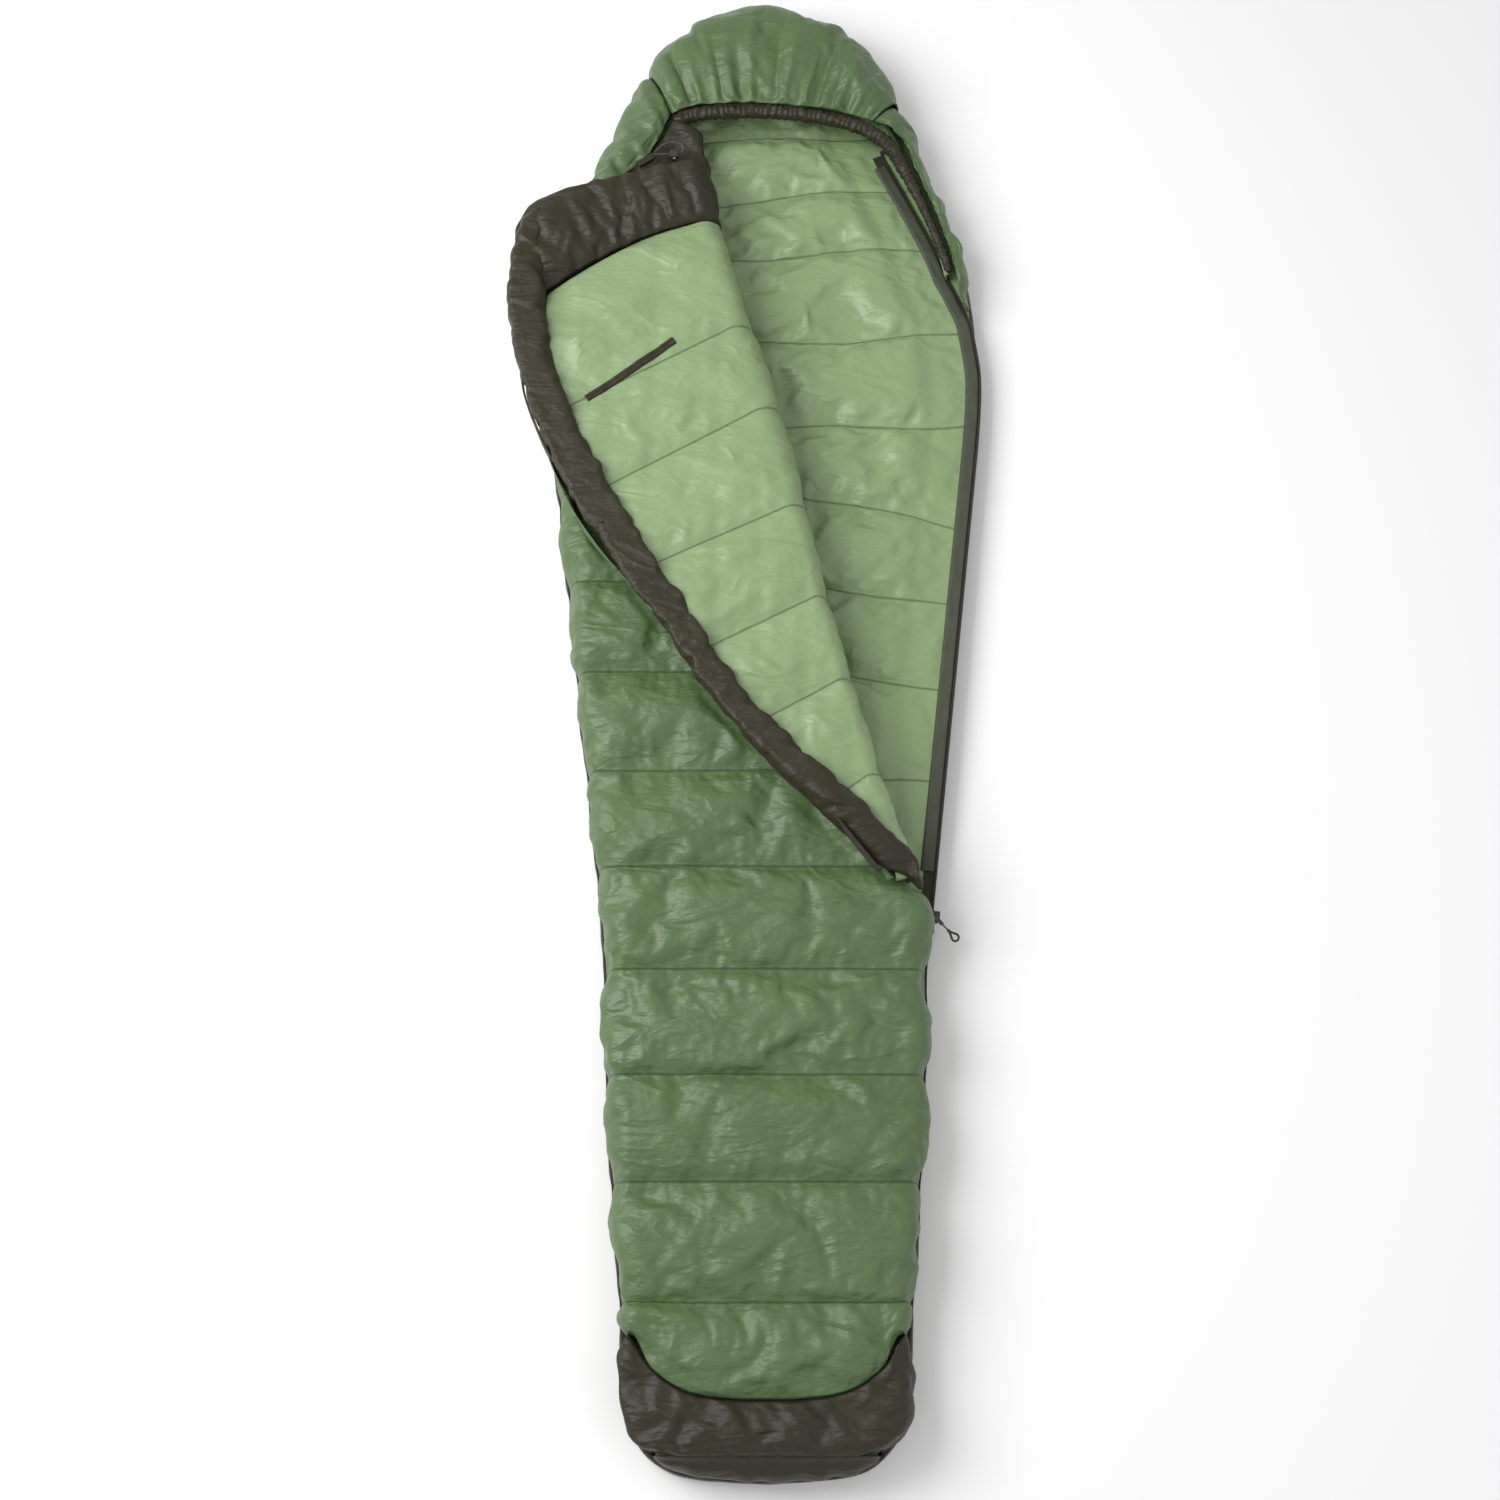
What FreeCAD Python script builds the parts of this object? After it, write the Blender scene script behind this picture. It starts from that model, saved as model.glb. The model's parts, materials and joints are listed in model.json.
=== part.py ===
import FreeCAD, Part
import math
import os

V = FreeCAD.Vector

# A mummy sleeping bag lying flat on its back: X to the zip side, +Y to the hood, +Z up.
# The origin is on the floor, on the centreline, half way along the bag.
# The top quilt is unzipped and its free half, the flap, is folded back over the closed half.

# ---- plan of the bag, millimetres ------------------------------------------------------
crown_y = 1032.0                 # top of the hood
foot_y = -1033.0                 # far end of the footbox
straight_low = (211.7, -340.0)   # where the straight stretch of each side starts, right side
straight_high = (292.0, 328.0)   # and where it ends
shoulder_half = 301.0
head_points = [(shoulder_half, 434.0), (297.0, 520.0), (278.0, 640.0), (250.0, 730.0),
               (219.0, 822.0), (188.0, 890.0), (150.0, 955.0), (97.0, 1003.0), (40.0, 1027.0)]
foot_points = [(206.5, -410.0), (201.0, -560.0), (190.0, -702.0), (180.0, -811.0),
               (173.0, -905.0), (160.0, -975.0), (126.0, -1015.0), (70.0, -1029.0)]

# ---- heights ---------------------------------------------------------------------------
base_top = 30.0                  # top face of the base lining
lid_top = 90.0                   # top of the upper quilt
fabric = 1.6                     # one layer of sewn fabric with its seam allowance
loft = 28.0                      # thickness of the upper insulation
side_loft = 24.0                 # insulation thickness where the quilt turns down at the side
edge_radius = 24.0               # rounding of the quilt's top edge
clear = 0.4                      # gap between neighbouring layers

# ---- zip -------------------------------------------------------------------------------
tape = 1.0                       # thickness of the zip tape
coil_width = 3.0
coil_height = 3.0
coil_out = 4.0                   # centre of the coil outside the bag's edge, straight stretch
tape_inner = 12.0                # tape reaches this far inside the bag's edge
facing_width = 18.0
slider_length = 15.0
slider_wing = 1.5                # thickness of the slider's two plates
slider_play = 0.6                # gap round the coil inside the slider
slider_y = -338.0                # slider's rest station
bridge_height = 5.2
bridge_wire = 1.7

# ---- fold of the flap ------------------------------------------------------------------
fold_foot = (190.0, -322.0)      # lower end of the fold line
fold_tilt = 15.43                # degrees to the left of +Y
fold_gap = 2.0                   # half of the gap along the fold
fold_lift = 1.0                  # fold axis above the upper quilt
flap_low = 20.0                  # flap's lower end, along the fold line
flap_neck = 1085.0               # flap's neck edge, along the fold line
neck_band = 98.0                 # width of the brown neck band
neck_corner = 95.0               # rounding of the flap's neck corner
tube_width = 44.0                # draft tube behind the zip
tube_height = 22.0
collar_height = 13.0
puff_wall = 1.2                  # fabric of the draft tube and the collar
flap_tape_drop = 14.0            # flap's zip tape below the flap's lining

# ---- hood ------------------------------------------------------------------------------
strip_start = 535.0              # the hood's side strip grows from here
strip_rate = 0.10                # and widens by this much per millimetre
channel_radius = 6.5
cord_radius = 1.5                # hood drawcord
tunnel_play = 0.5                # gap round the cord in its channel
channel_route = [(-130, 831, 76), (-104, 841, 78), (-54, 846, 79), (0, 846, 80), (54, 841, 80),
                 (104, 832, 79), (148, 817, 77), (180, 794, 73), (204, 752, 68), (227, 703, 62),
                 (248, 650, 56), (265, 600, 52)]

# ---- cord hardware ---------------------------------------------------------------------
deck = lid_top + 0.6             # cords lie just above the neck fabric
loop_radius = 1.25               # drawcord loop
neck_cord_radius = 1.0
lock_width = 12.0
lock_length = 13.0
lock_height = 9.0
lock_play = 0.3
lock_centre = (-128.0, 764.0)
button_radius = 3.6
button_stroke = 3.0
tab_start = (-158.5, 765.0)
tab_end = (-181.0, 750.0)
tab_width = 9.0
loop_z = deck + lock_height / 2 + 1.0
loop_route = [(-158, 764, loop_z), (-119, 764, loop_z), (-114, 772.7, loop_z + 0.6),
              (-119, 781.4, loop_z + 1.2), (-135, 785, loop_z), (-148, 779, loop_z - 1.8),
              (-156, 770, loop_z - 2.6)]
neck_cord_route = [(-183, 748, deck + 1.4), (-194, 739.5, deck + 1.6), (-205, 729, deck + 1.4),
                   (-215, 717.5, deck + 1.4), (-226, 708, deck + 1.6)]

# ---- worked out ------------------------------------------------------------------------
tape_low = base_top + clear
coil_low = tape_low + tape + 0.2
lid_low = tape_low + tape + clear
shell_under = lid_top - fabric
insulation_top = shell_under - clear
insulation_low = insulation_top - loft
lining_top = insulation_low - clear
lining_low = lining_top - fabric
inner_inset = fabric + clear + side_loft + clear
axis_z = lid_top + fold_lift
tilt = math.radians(fold_tilt)
along = V(-math.sin(tilt), math.cos(tilt), 0)
across = V(math.cos(tilt), math.sin(tilt), 0)
fold_origin = V(fold_foot[0], fold_foot[1], 0)
run = V(straight_high[0] - straight_low[0], straight_high[1] - straight_low[1], 0).normalize()
outward = V(run.y, -run.x, 0)

parts = {}


def plan(point):
    return V(point[0], point[1], 0)


def mirrored(points):
    return [(-x, y) for x, y in reversed(points)]


def fold_point(s, t):
    """A plan point, s across the fold line to the right and t along it from its foot."""
    return fold_origin + across * s + along * t


def along_fold(point):
    return (point - fold_origin).dot(along)


def smooth_curve(points, start_tangent=None, end_tangent=None):
    curve = Part.BSplineCurve()
    if start_tangent is None:
        curve.interpolate(points)
    else:
        curve.interpolate(Points=points, InitialTangent=start_tangent, FinalTangent=end_tangent)
    return curve


left_run = V(run.x, -run.y, 0)
head_curve = smooth_curve(
    [plan(straight_high)] + [plan(p) for p in head_points] + [V(0, crown_y, 0)]
    + [plan(p) for p in mirrored(head_points)] + [V(-straight_high[0], straight_high[1], 0)],
    run, left_run)
foot_curve = smooth_curve(
    [V(-straight_low[0], straight_low[1], 0)] + [plan((-x, y)) for x, y in foot_points]
    + [V(0, foot_y, 0)] + [plan(p) for p in reversed(foot_points)] + [plan(straight_low)],
    left_run, run)


def inward(curve, parameter):
    tangent = curve.tangent(parameter)[0]
    return V(-tangent.y, tangent.x, 0)


def offset_curve(curve, inset, start_tangent, end_tangent):
    count = 44
    first, last = curve.FirstParameter, curve.LastParameter
    points = []
    for i in range(count + 1):
        u = first + (last - first) * i / count
        points.append(curve.value(u) + inward(curve, u) * inset)
    return smooth_curve(points, start_tangent, end_tangent)


def outline(inset):
    """The bag's plan, moved in by inset, as a face on the floor."""
    head = head_curve if inset == 0 else offset_curve(head_curve, inset, run, left_run)
    foot = foot_curve if inset == 0 else offset_curve(foot_curve, inset, left_run, run)
    low_right, high_right = foot.EndPoint, head.StartPoint
    high_left, low_left = head.EndPoint, foot.StartPoint
    edges = [Part.LineSegment(low_right, high_right).toShape(), head.toShape(),
             Part.LineSegment(high_left, low_left).toShape(), foot.toShape()]
    return Part.Face(Part.Wire(edges))


def prism(face, low, high):
    solid = face.extrude(V(0, 0, high - low))
    solid.translate(V(0, 0, low))
    return solid


def polygon(points, low=-50.0, high=260.0):
    return prism(Part.Face(Part.makePolygon(points + [points[0]])), low, high)


def top_edges(solid, height):
    return [e for e in solid.Edges if abs(e.BoundBox.ZMin - height) < 1e-4
            and abs(e.BoundBox.ZMax - height) < 1e-4]


def lid_block(inset, high, radius):
    """The space under a lid of the bag's plan, its top edge rounded."""
    block = prism(outline(inset), lid_low, high)
    return block.makeFillet(radius, top_edges(block, high))


def lid_layer(inset, high, side, thickness, radius):
    """One layer of the upper quilt over the whole bag: a top with turned-down sides."""
    inner = lid_block(inset + side, high - thickness, max(radius - thickness, 2.0))
    drop = prism(outline(inset + side), lid_low - 5, lid_low + 1)
    return lid_block(inset, high, radius).cut(inner.fuse(drop))


def largest(shape):
    return max(shape.Solids, key=lambda solid: solid.Volume)


def clip(layer, region):
    return largest(layer.common(region))


def right_point(y, inset):
    """A point on the right-hand edge at station y, moved in by inset."""
    if y <= straight_high[1]:
        station = (y - straight_low[1]) / run.y
        return plan(straight_low) + run * station - outward * inset
    low, high = head_curve.FirstParameter, head_curve.parameter(V(0, crown_y, 0))
    for _ in range(40):
        middle = (low + high) / 2
        if head_curve.value(middle).y < y:
            low = middle
        else:
            high = middle
    return head_curve.value(low) + inward(head_curve, low) * inset


def between(stations, y):
    """Straight-line value from a list of (y, value)."""
    if y <= stations[0][0]:
        return stations[0][1]
    for (y0, v0), (y1, v1) in zip(stations, stations[1:]):
        if y <= y1:
            return v0 + (v1 - v0) * (y - y0) / (y1 - y0)
    return stations[-1][1]


# How far the flap's zip edge lies inside the bag's edge when the flap is shut.
flap_inset_stations = [(328.0, 0.0), (450.0, 7.0), (529.0, 15.0), (600.0, 34.0), (663.0, 45.0),
                       (716.0, 54.0), (800.0, 68.0)]
# The base's zip follows the same line, outside it by the coil's own offset and the flap's slack.
flap_slack_stations = [(328.0, 0.0), (450.0, 6.0), (529.0, 8.0), (600.0, 7.0), (663.0, 11.5),
                       (716.0, 14.0), (800.0, 16.0)]


def flap_inset(y):
    return between(flap_inset_stations, y)


def coil_inset(y):
    return flap_inset(y) - between(flap_slack_stations, y) - coil_out


def side_edges(inset_at, low, high):
    """Edges along the right-hand side from station low to high, inset_at(y) inside it."""
    edges = []
    bend = straight_high[1]
    if low < bend:
        edges.append(Part.LineSegment(right_point(low, inset_at(low)),
                                      right_point(min(high, bend), inset_at(bend))).toShape())
    if high > bend:
        start = max(low, bend)
        count = 12
        points = [right_point(start + (high - start) * i / count,
                              inset_at(start + (high - start) * i / count))
                  for i in range(count + 1)]
        edges.append(smooth_curve(points).toShape())
    return edges


def side_strip(inner_at, outer_at, low, high, bottom, top):
    """A strip along the right-hand side between two insets."""
    inner = side_edges(inner_at, low, high)
    outer = side_edges(outer_at, low, high)
    ends = [Part.LineSegment(right_point(y, inner_at(y)), right_point(y, outer_at(y))).toShape()
            for y in (low, high)]
    wire = Part.Wire(Part.sortEdges(inner + outer + ends)[0])
    return prism(Part.Face(wire), bottom, top)


def station_at(inset_at, t):
    """The station where the right-hand edge, inset_at inside, is t along the fold line."""
    low, high = straight_low[1] - 60, 880.0
    for _ in range(50):
        middle = (low + high) / 2
        if along_fold(right_point(middle, inset_at(middle))) < t:
            low = middle
        else:
            high = middle
    return low


def flap_block(inset, low, high, start=flap_low, end=flap_neck, corner=neck_corner, fold_side=None):
    """A slab of the shut flap's plan, moved in by inset; its neck corner is rounded."""
    def inset_at(y):
        return flap_inset(y) + inset
    start += inset
    end -= inset
    s0 = fold_gap + (inset if fold_side is None else fold_side)
    y0, y1 = station_at(inset_at, start), station_at(inset_at, end)
    side = side_edges(inset_at, y0, y1)
    lower, upper = right_point(y0, inset_at(y0)), right_point(y1, inset_at(y1))
    corners = [lower, fold_point(s0, start), fold_point(s0, end), upper]
    rest = [Part.LineSegment(a, b).toShape() for a, b in zip(corners, corners[1:])]
    slab = prism(Part.Face(Part.Wire(Part.sortEdges(side + rest)[0])), low, high)
    if corner:
        upright = [e for e in slab.Edges if abs(e.BoundBox.ZLength - (high - low)) < 1e-4
                   and (e.CenterOfMass - upper).dot(V(1, 0, 0)) ** 2
                   + (e.CenterOfMass.y - upper.y) ** 2 < 1]
        slab = slab.makeFillet(corner - inset, upright)
    return slab


def laid_back(shape):
    """Turns a piece of the shut flap over about the fold line, to where it rests."""
    shape.rotate(V(fold_origin.x, fold_origin.y, axis_z), along, 180)
    return shape


def rounded_wire(points):
    """Straight runs joined by tangent arcs, and the arcs' radii."""
    points = [V(*p) for p in points]
    edges, radii = [], []
    last = points[0]
    for before, corner, after in zip(points, points[1:], points[2:]):
        to_before, to_after = before - corner, after - corner
        reach = 0.45 * min(to_before.Length, to_after.Length)
        half_turn = (math.pi - to_before.getAngle(to_after)) / 2
        radii.append(reach / math.tan(half_turn))
        start = corner + to_before.normalize() * reach
        end = corner + to_after.normalize() * reach
        bisector = (to_before + to_after).normalize()
        radius = radii[-1]
        middle = corner + bisector * (math.hypot(radius, reach) - radius)
        edges.append(Part.LineSegment(last, start).toShape())
        edges.append(Part.Arc(start, middle, end).toShape())
        last = end
    edges.append(Part.LineSegment(last, points[-1]).toShape())
    return Part.Wire(edges), radii


def tube(points, radius):
    wire, radii = rounded_wire(points)
    heading = V(*points[1]) - V(*points[0])
    profile = Part.Wire(Part.makeCircle(radius, V(*points[0]), heading))
    solid = wire.makePipeShell([profile], True, True)
    return solid, wire, radii


def report_cord(name, solid, wire, radii, radius):
    expected = math.pi * radius ** 2 * wire.Length
    print(name, "length %.1f" % wire.Length, "radii", ["%.1f" % r for r in radii],
          "volume ratio %.4f" % (solid.Volume / expected))


# ---- regions of the upper quilt --------------------------------------------------------
def hood_inner(y):
    return max(strip_rate * (y - strip_start), 0.0)


far = 1500.0
collar_low = flap_neck - neck_band
neck_seam = [(-139.0, 841.0), (-163.0, 775.0), (-229.0, 712.0), (-320.0, 640.0)]
crown_seam_left = [(-139.0, 841.0), (-159.0, 897.0), (-215.0, 1030.0)]
crown_seam_right = [(160.0, 822.0), (186.0, 856.0), (290.0, 960.0)]


def shifted(points, dx, dy):
    return [plan((x + dx, y + dy)) for x, y in points]


def foot_seam_region(drop):
    """Everything beyond the curved foot seam."""
    half = [(205.0, -770.0), (165.0, -868.0), (112.0, -924.0), (50.0, -939.5)]
    points = [plan((-x, y - drop)) for x, y in half] + [V(0, -941.0 - drop, 0)]
    points += [plan((x, y - drop)) for x, y in reversed(half)]
    seam = smooth_curve(points)
    left, right = points[0], points[-1]
    box = [right, V(right.x, -far, 0), V(left.x, -far, 0), left]
    edges = [seam.toShape()] + [Part.LineSegment(a, b).toShape() for a, b in zip(box, box[1:])]
    return prism(Part.Face(Part.Wire(edges)), -50, 260)


end_panel_y = -1004.0
top_region = polygon([fold_point(-fold_gap, collar_low - clear),
                      fold_point(-fold_gap, flap_low - 3), fold_point(300, flap_low - 3),
                      fold_point(300, -far), fold_point(-far, -far),
                      fold_point(-far, collar_low - clear)]).cut(foot_seam_region(-clear))
foot_region = foot_seam_region(0)
end_panel_region = polygon([V(-400, end_panel_y - clear, 0), V(400, end_panel_y - clear, 0),
                            V(400, -far, 0), V(-400, -far, 0)])
footbox_region = foot_region.cut(polygon([V(-400, end_panel_y, 0), V(400, end_panel_y, 0),
                                          V(400, -far, 0), V(-400, -far, 0)]))
collar_region = polygon([fold_point(-fold_gap, collar_low), fold_point(-fold_gap, flap_neck + 112)]
                        + shifted(neck_seam, 0.5, -1.0)
                        + [fold_point(-700, collar_low)]).cut(
    Part.makeCylinder(channel_radius + 4.0, 400, V(channel_route[0][0], channel_route[0][1], -50)))
left_hood_region = polygon(shifted(neck_seam, 0, 0)[::-1] + shifted(crown_seam_left, 0, 0)[1:]
                           + [V(-400, 1060, 0), V(-400, 640, 0)])
rim_outer = channel_radius + clear


def rim_offset(points, reach):
    """The channel's route in plan, moved out towards the hood by reach."""
    moved = []
    for i, here in enumerate(points):
        before = plan(points[max(i - 1, 0)])
        after = plan(points[min(i + 1, len(points) - 1)])
        heading = (after - before).normalize()
        moved.append(plan(here) + V(-heading.y, heading.x, 0) * reach)
    return moved


brow_count = 7
rim_line = rim_offset(channel_route, rim_outer)
brow_region = polygon([plan(crown_seam_left[0]) + V(0.5, 0, 0)] + rim_line[1:brow_count]
                      + shifted(crown_seam_right, -0.5, 0) + [V(290, 1100, 0), V(-215, 1100, 0)]
                      + [plan(crown_seam_left[2]) + V(0.5, 0, 0),
                         plan(crown_seam_left[1]) + V(0.5, 0, 0)])
strip_stations = [700.0, 640.0, 580.0, strip_start + 12.0]
strip_line = [right_point(y, hood_inner(y)) for y in strip_stations]
right_hood_region = polygon(shifted(crown_seam_right, 0, 0)[::-1] + rim_line[brow_count:-3]
                            + strip_line + [V(420, strip_start + 12.0, 0), V(420, 960, 0)])
hood_region = polygon([plan(p) for p in neck_seam[::-1]] + rim_line[1:-3] + strip_line
                      + [V(420, strip_start + 12.0, 0), V(420, 1100, 0), V(-420, 1100, 0),
                         V(-420, 640, 0)])

# ---- upper quilt -----------------------------------------------------------------------
shell_layer = lid_layer(0, lid_top, fabric, fabric, edge_radius)
insulation_layer = lid_layer(fabric + clear, insulation_top, side_loft, loft, edge_radius - fabric)
lining_layer = lid_layer(inner_inset, lining_top, fabric, fabric, 4.0)

parts["top_shell"] = clip(shell_layer, top_region)
parts["top_insulation"] = clip(insulation_layer, top_region)
parts["top_lining"] = clip(lining_layer, top_region)
parts["footbox_shell"] = clip(shell_layer, footbox_region)
parts["foot_end_panel"] = clip(shell_layer, end_panel_region)
parts["footbox_insulation"] = clip(insulation_layer, foot_region)
parts["footbox_lining"] = clip(lining_layer, foot_region)
parts["neck_collar_shell"] = clip(shell_layer, collar_region)
parts["neck_collar_insulation"] = clip(insulation_layer, collar_region)
parts["neck_collar_lining"] = clip(lining_layer, collar_region)
parts["hood_centre_panel"] = clip(shell_layer, brow_region)
parts["hood_left_panel"] = clip(shell_layer, left_hood_region)
parts["hood_right_panel"] = clip(shell_layer, right_hood_region)
parts["hood_insulation"] = clip(insulation_layer, hood_region)
parts["hood_lining"] = clip(lining_layer, hood_region)

# ---- base ------------------------------------------------------------------------------
base_block = prism(outline(0), 0, base_top - fabric)
bottom_edges = top_edges(base_block, 0)
base_block = base_block.makeFillet(base_top / 2.5, bottom_edges)
base_hollow = prism(outline(fabric), fabric, base_top)
parts["base_shell"] = base_block.cut(
    base_hollow.makeFillet(base_top / 2.5 - fabric, top_edges(base_hollow, fabric)))
base_filling = prism(outline(fabric + clear), fabric + clear, base_top - fabric - clear)
parts["base_insulation"] = base_filling.makeFillet(
    base_top / 2.5 - fabric, top_edges(base_filling, fabric + clear))
parts["base_lining"] = prism(outline(0), base_top - fabric + 0.01, base_top)

# ---- seams -----------------------------------------------------------------------------
seam_ring = prism(outline(-1.5), base_top + 0.2, lid_low - 0.2).cut(
    prism(outline(1.2), base_top, lid_low))
crown_cut = polygon([V(-420, 700, 0), V(0, 700, 0), V(420, strip_start + 10, 0),
                     V(420, 1100, 0), V(-420, 1100, 0)])
zip_side = polygon([V(100, slider_y - 24, 0), V(420, slider_y - 24, 0),
                    V(420, strip_start + 10, 0), V(100, strip_start + 10, 0)])
parts["crown_piping"] = clip(seam_ring, crown_cut)
parts["side_seam_binding"] = clip(seam_ring.cut(zip_side), polygon(
    [V(-420, 700 - clear, 0), V(0, 700 - clear, 0), V(420, slider_y - 24, 0), V(420, -far, 0),
     V(-420, -far, 0)]))

# ---- base side of the zip --------------------------------------------------------------
zip_low = slider_y - 22
zip_high = station_at(coil_inset, flap_neck + 6)
stop_length = 5.0


def coil_offset(value):
    return lambda y: coil_inset(y) + value


half_coil = coil_width / 2
parts["base_zip_tape"] = side_strip(coil_offset(coil_out + tape_inner), coil_offset(-half_coil - 0.5),
                                    zip_low + stop_length, zip_high, tape_low, tape_low + tape)
parts["base_zip_coil"] = side_strip(coil_offset(half_coil), coil_offset(-half_coil),
                                    zip_low + stop_length, zip_high, coil_low,
                                    coil_low + coil_height)
parts["base_zip_facing"] = side_strip(coil_offset(half_coil + 1.5 + facing_width),
                                      coil_offset(half_coil + 1.5), slider_y + 58,
                                      zip_high, tape_low + tape + 0.2, tape_low + tape + 1.2)
parts["zip_bottom_stop"] = side_strip(coil_offset(half_coil + 0.4), coil_offset(-half_coil - 3.5),
                                      zip_low, zip_low + stop_length - 0.2, tape_low,
                                      coil_low + coil_height + 0.4)
parts["zip_top_stop"] = side_strip(coil_offset(half_coil + 0.8), coil_offset(-half_coil - 0.8),
                                   zip_high + 0.2, zip_high + stop_length, tape_low,
                                   coil_low + coil_height + 0.6)

# ---- hood edge: gathered channel with its drawcord -------------------------------------
channel = tube(channel_route, channel_radius)[0]
tunnel = tube(channel_route, cord_radius + tunnel_play)[0]
parts["hood_edge_channel"] = channel.cut(tunnel)
hood_cord, hood_wire, hood_radii = tube(channel_route, cord_radius)
parts["hood_drawcord"] = hood_cord
report_cord("hood_drawcord", hood_cord, hood_wire, hood_radii, cord_radius)

eyelet_axis = (V(*channel_route[0]) - V(*channel_route[1])).normalize()
eyelet_face = V(*channel_route[0]) + eyelet_axis * 0.3
eyelet_disc = Part.makeCylinder(channel_radius - 1.0, 1.6, eyelet_face, eyelet_axis)
eyelet_hole = Part.makeCylinder(cord_radius + tunnel_play, 4, eyelet_face - eyelet_axis, eyelet_axis)
parts["drawcord_eyelet"] = eyelet_disc.cut(eyelet_hole)

# ---- shut flap, turned over to its resting place ---------------------------------------
flap_outer = flap_block(0, insulation_low, lid_top, fold_side=0)
flap_inner = flap_block(fabric, insulation_low - 1, shell_under, fold_side=0)
top_rim = [e for e in top_edges(flap_outer, lid_top)
           if (e.CenterOfMass - fold_point(fold_gap, along_fold(e.CenterOfMass))).dot(across) > 30]
flap_outer = flap_outer.makeFillet(edge_radius - 6, top_rim)
flap_rim = [e for e in top_edges(flap_inner, shell_under)
            if (e.CenterOfMass - fold_point(fold_gap, along_fold(e.CenterOfMass))).dot(across) > 30]
flap_inner = flap_inner.makeFillet(edge_radius - 6 - fabric, flap_rim)
flap_shell = flap_outer.cut(flap_inner)
flap_filling = flap_block(fabric + clear, insulation_low, insulation_top, fold_side=0)
filling_rim = [e for e in top_edges(flap_filling, insulation_top)
               if (e.CenterOfMass - fold_point(fold_gap, along_fold(e.CenterOfMass))).dot(across) > 30]
flap_filling = flap_filling.makeFillet(edge_radius - 6 - fabric, filling_rim)
flap_inside = flap_block(fabric, lining_low, lining_top, fold_side=0)
parts["flap_shell"] = laid_back(largest(flap_shell))
parts["flap_insulation"] = laid_back(flap_filling)
parts["flap_lining"] = laid_back(flap_inside)

tube_inset = 3.0
tube_top = lining_low - clear


def draft_tube(shrink):
    outer = flap_block(tube_inset + shrink, tube_top - tube_height + shrink, tube_top - shrink,
                       corner=neck_corner, fold_side=0)
    inner = flap_block(tube_inset + tube_width - shrink, tube_top - tube_height - 5, tube_top + 5,
                       start=flap_low - tube_width + 60, end=flap_neck + tube_width,
                       corner=0, fold_side=-20)
    return largest(outer.cut(inner))


def collar_block(shrink):
    band = flap_block(tube_inset + tube_width + 1 + shrink, tube_top - collar_height + shrink,
                      tube_top - shrink, end=flap_neck + tube_width - 2, corner=0, fold_side=shrink)
    keep = polygon([fold_point(-50, collar_low + shrink), fold_point(500, collar_low + shrink),
                    fold_point(500, flap_neck + 200), fold_point(-50, flap_neck + 200)])
    return largest(band.common(keep))


parts["draft_tube_shell"] = laid_back(draft_tube(0).cut(draft_tube(puff_wall)))
parts["draft_tube_insulation"] = laid_back(draft_tube(puff_wall + clear))
parts["flap_collar_shell"] = laid_back(collar_block(0).cut(collar_block(puff_wall)))
parts["flap_collar_insulation"] = laid_back(collar_block(puff_wall + clear))


# ---- flap side of the zip --------------------------------------------------------------
def flap_edge(value):
    return lambda y: flap_inset(y) + value


flap_zip_low = station_at(flap_inset, flap_low + 14)
flap_zip_high = station_at(flap_inset, flap_neck - neck_corner - 5)
tape_foot = insulation_low - flap_tape_drop
parts["flap_zip_tape"] = laid_back(side_strip(flap_edge(-0.4), flap_edge(-0.4 - tape), flap_zip_low,
                                              flap_zip_high, tape_foot, insulation_low + 12))
parts["flap_zip_coil"] = laid_back(side_strip(flap_edge(-0.6 - tape),
                                              flap_edge(-0.6 - tape - coil_width), flap_zip_low,
                                              flap_zip_high, tape_foot, tape_foot + coil_height))
parts["flap_zip_stop"] = laid_back(side_strip(flap_edge(0.0), flap_edge(-5.2), flap_zip_high + 0.2,
                                              flap_zip_high + stop_length, tape_foot,
                                              tape_foot + coil_height + 1))

# ---- inside pocket on the flap's lining ------------------------------------------------
welt_length = 148.0
welt_width = 11.0
pocket_centre = fold_point(164.0, 795.0)
pocket_turn = 9.3 + fold_tilt
pocket_depth = 150.0


def pocket_piece(width, depth, shift, low, high):
    """A flat rectangle on the lining beside the pocket's mouth."""
    box = Part.makeBox(width, depth, high - low, V(-width / 2, shift, low))
    box.rotate(V(0, 0, 0), V(0, 0, 1), pocket_turn - 2 * fold_tilt)
    box.translate(V(pocket_centre.x, pocket_centre.y, 0))
    return box


pocket_bag = pocket_piece(welt_length - 8, pocket_depth, -pocket_depth, tube_top - 1.4, tube_top)
parts["pocket_bag"] = laid_back(pocket_bag)
parts["pocket_welt"] = laid_back(pocket_piece(welt_length, welt_width, 0.4,
                                              tube_top - 2.2, tube_top))

# ---- slider ----------------------------------------------------------------------------
coil_mid = coil_low + coil_height / 2
slider_origin = right_point(slider_y, 0)
slider_inner = 0.8                                   # gap to the bag's edge
slider_outer = 2 * coil_out + 6.4
slider_low = tape_low - slider_play - slider_wing
plate_high = coil_low + coil_height + slider_play


def slider_box(inner, outer, back, front, low, high):
    """A box in the slider's frame: outward from the bag's edge, along the zip, up."""
    box = Part.makeBox(outer - inner, front - back, high - low, V(inner, back, low))
    box.rotate(V(0, 0, 0), V(0, 0, 1), -math.degrees(math.atan2(run.x, run.y)))
    box.translate(slider_origin)
    return box


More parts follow.
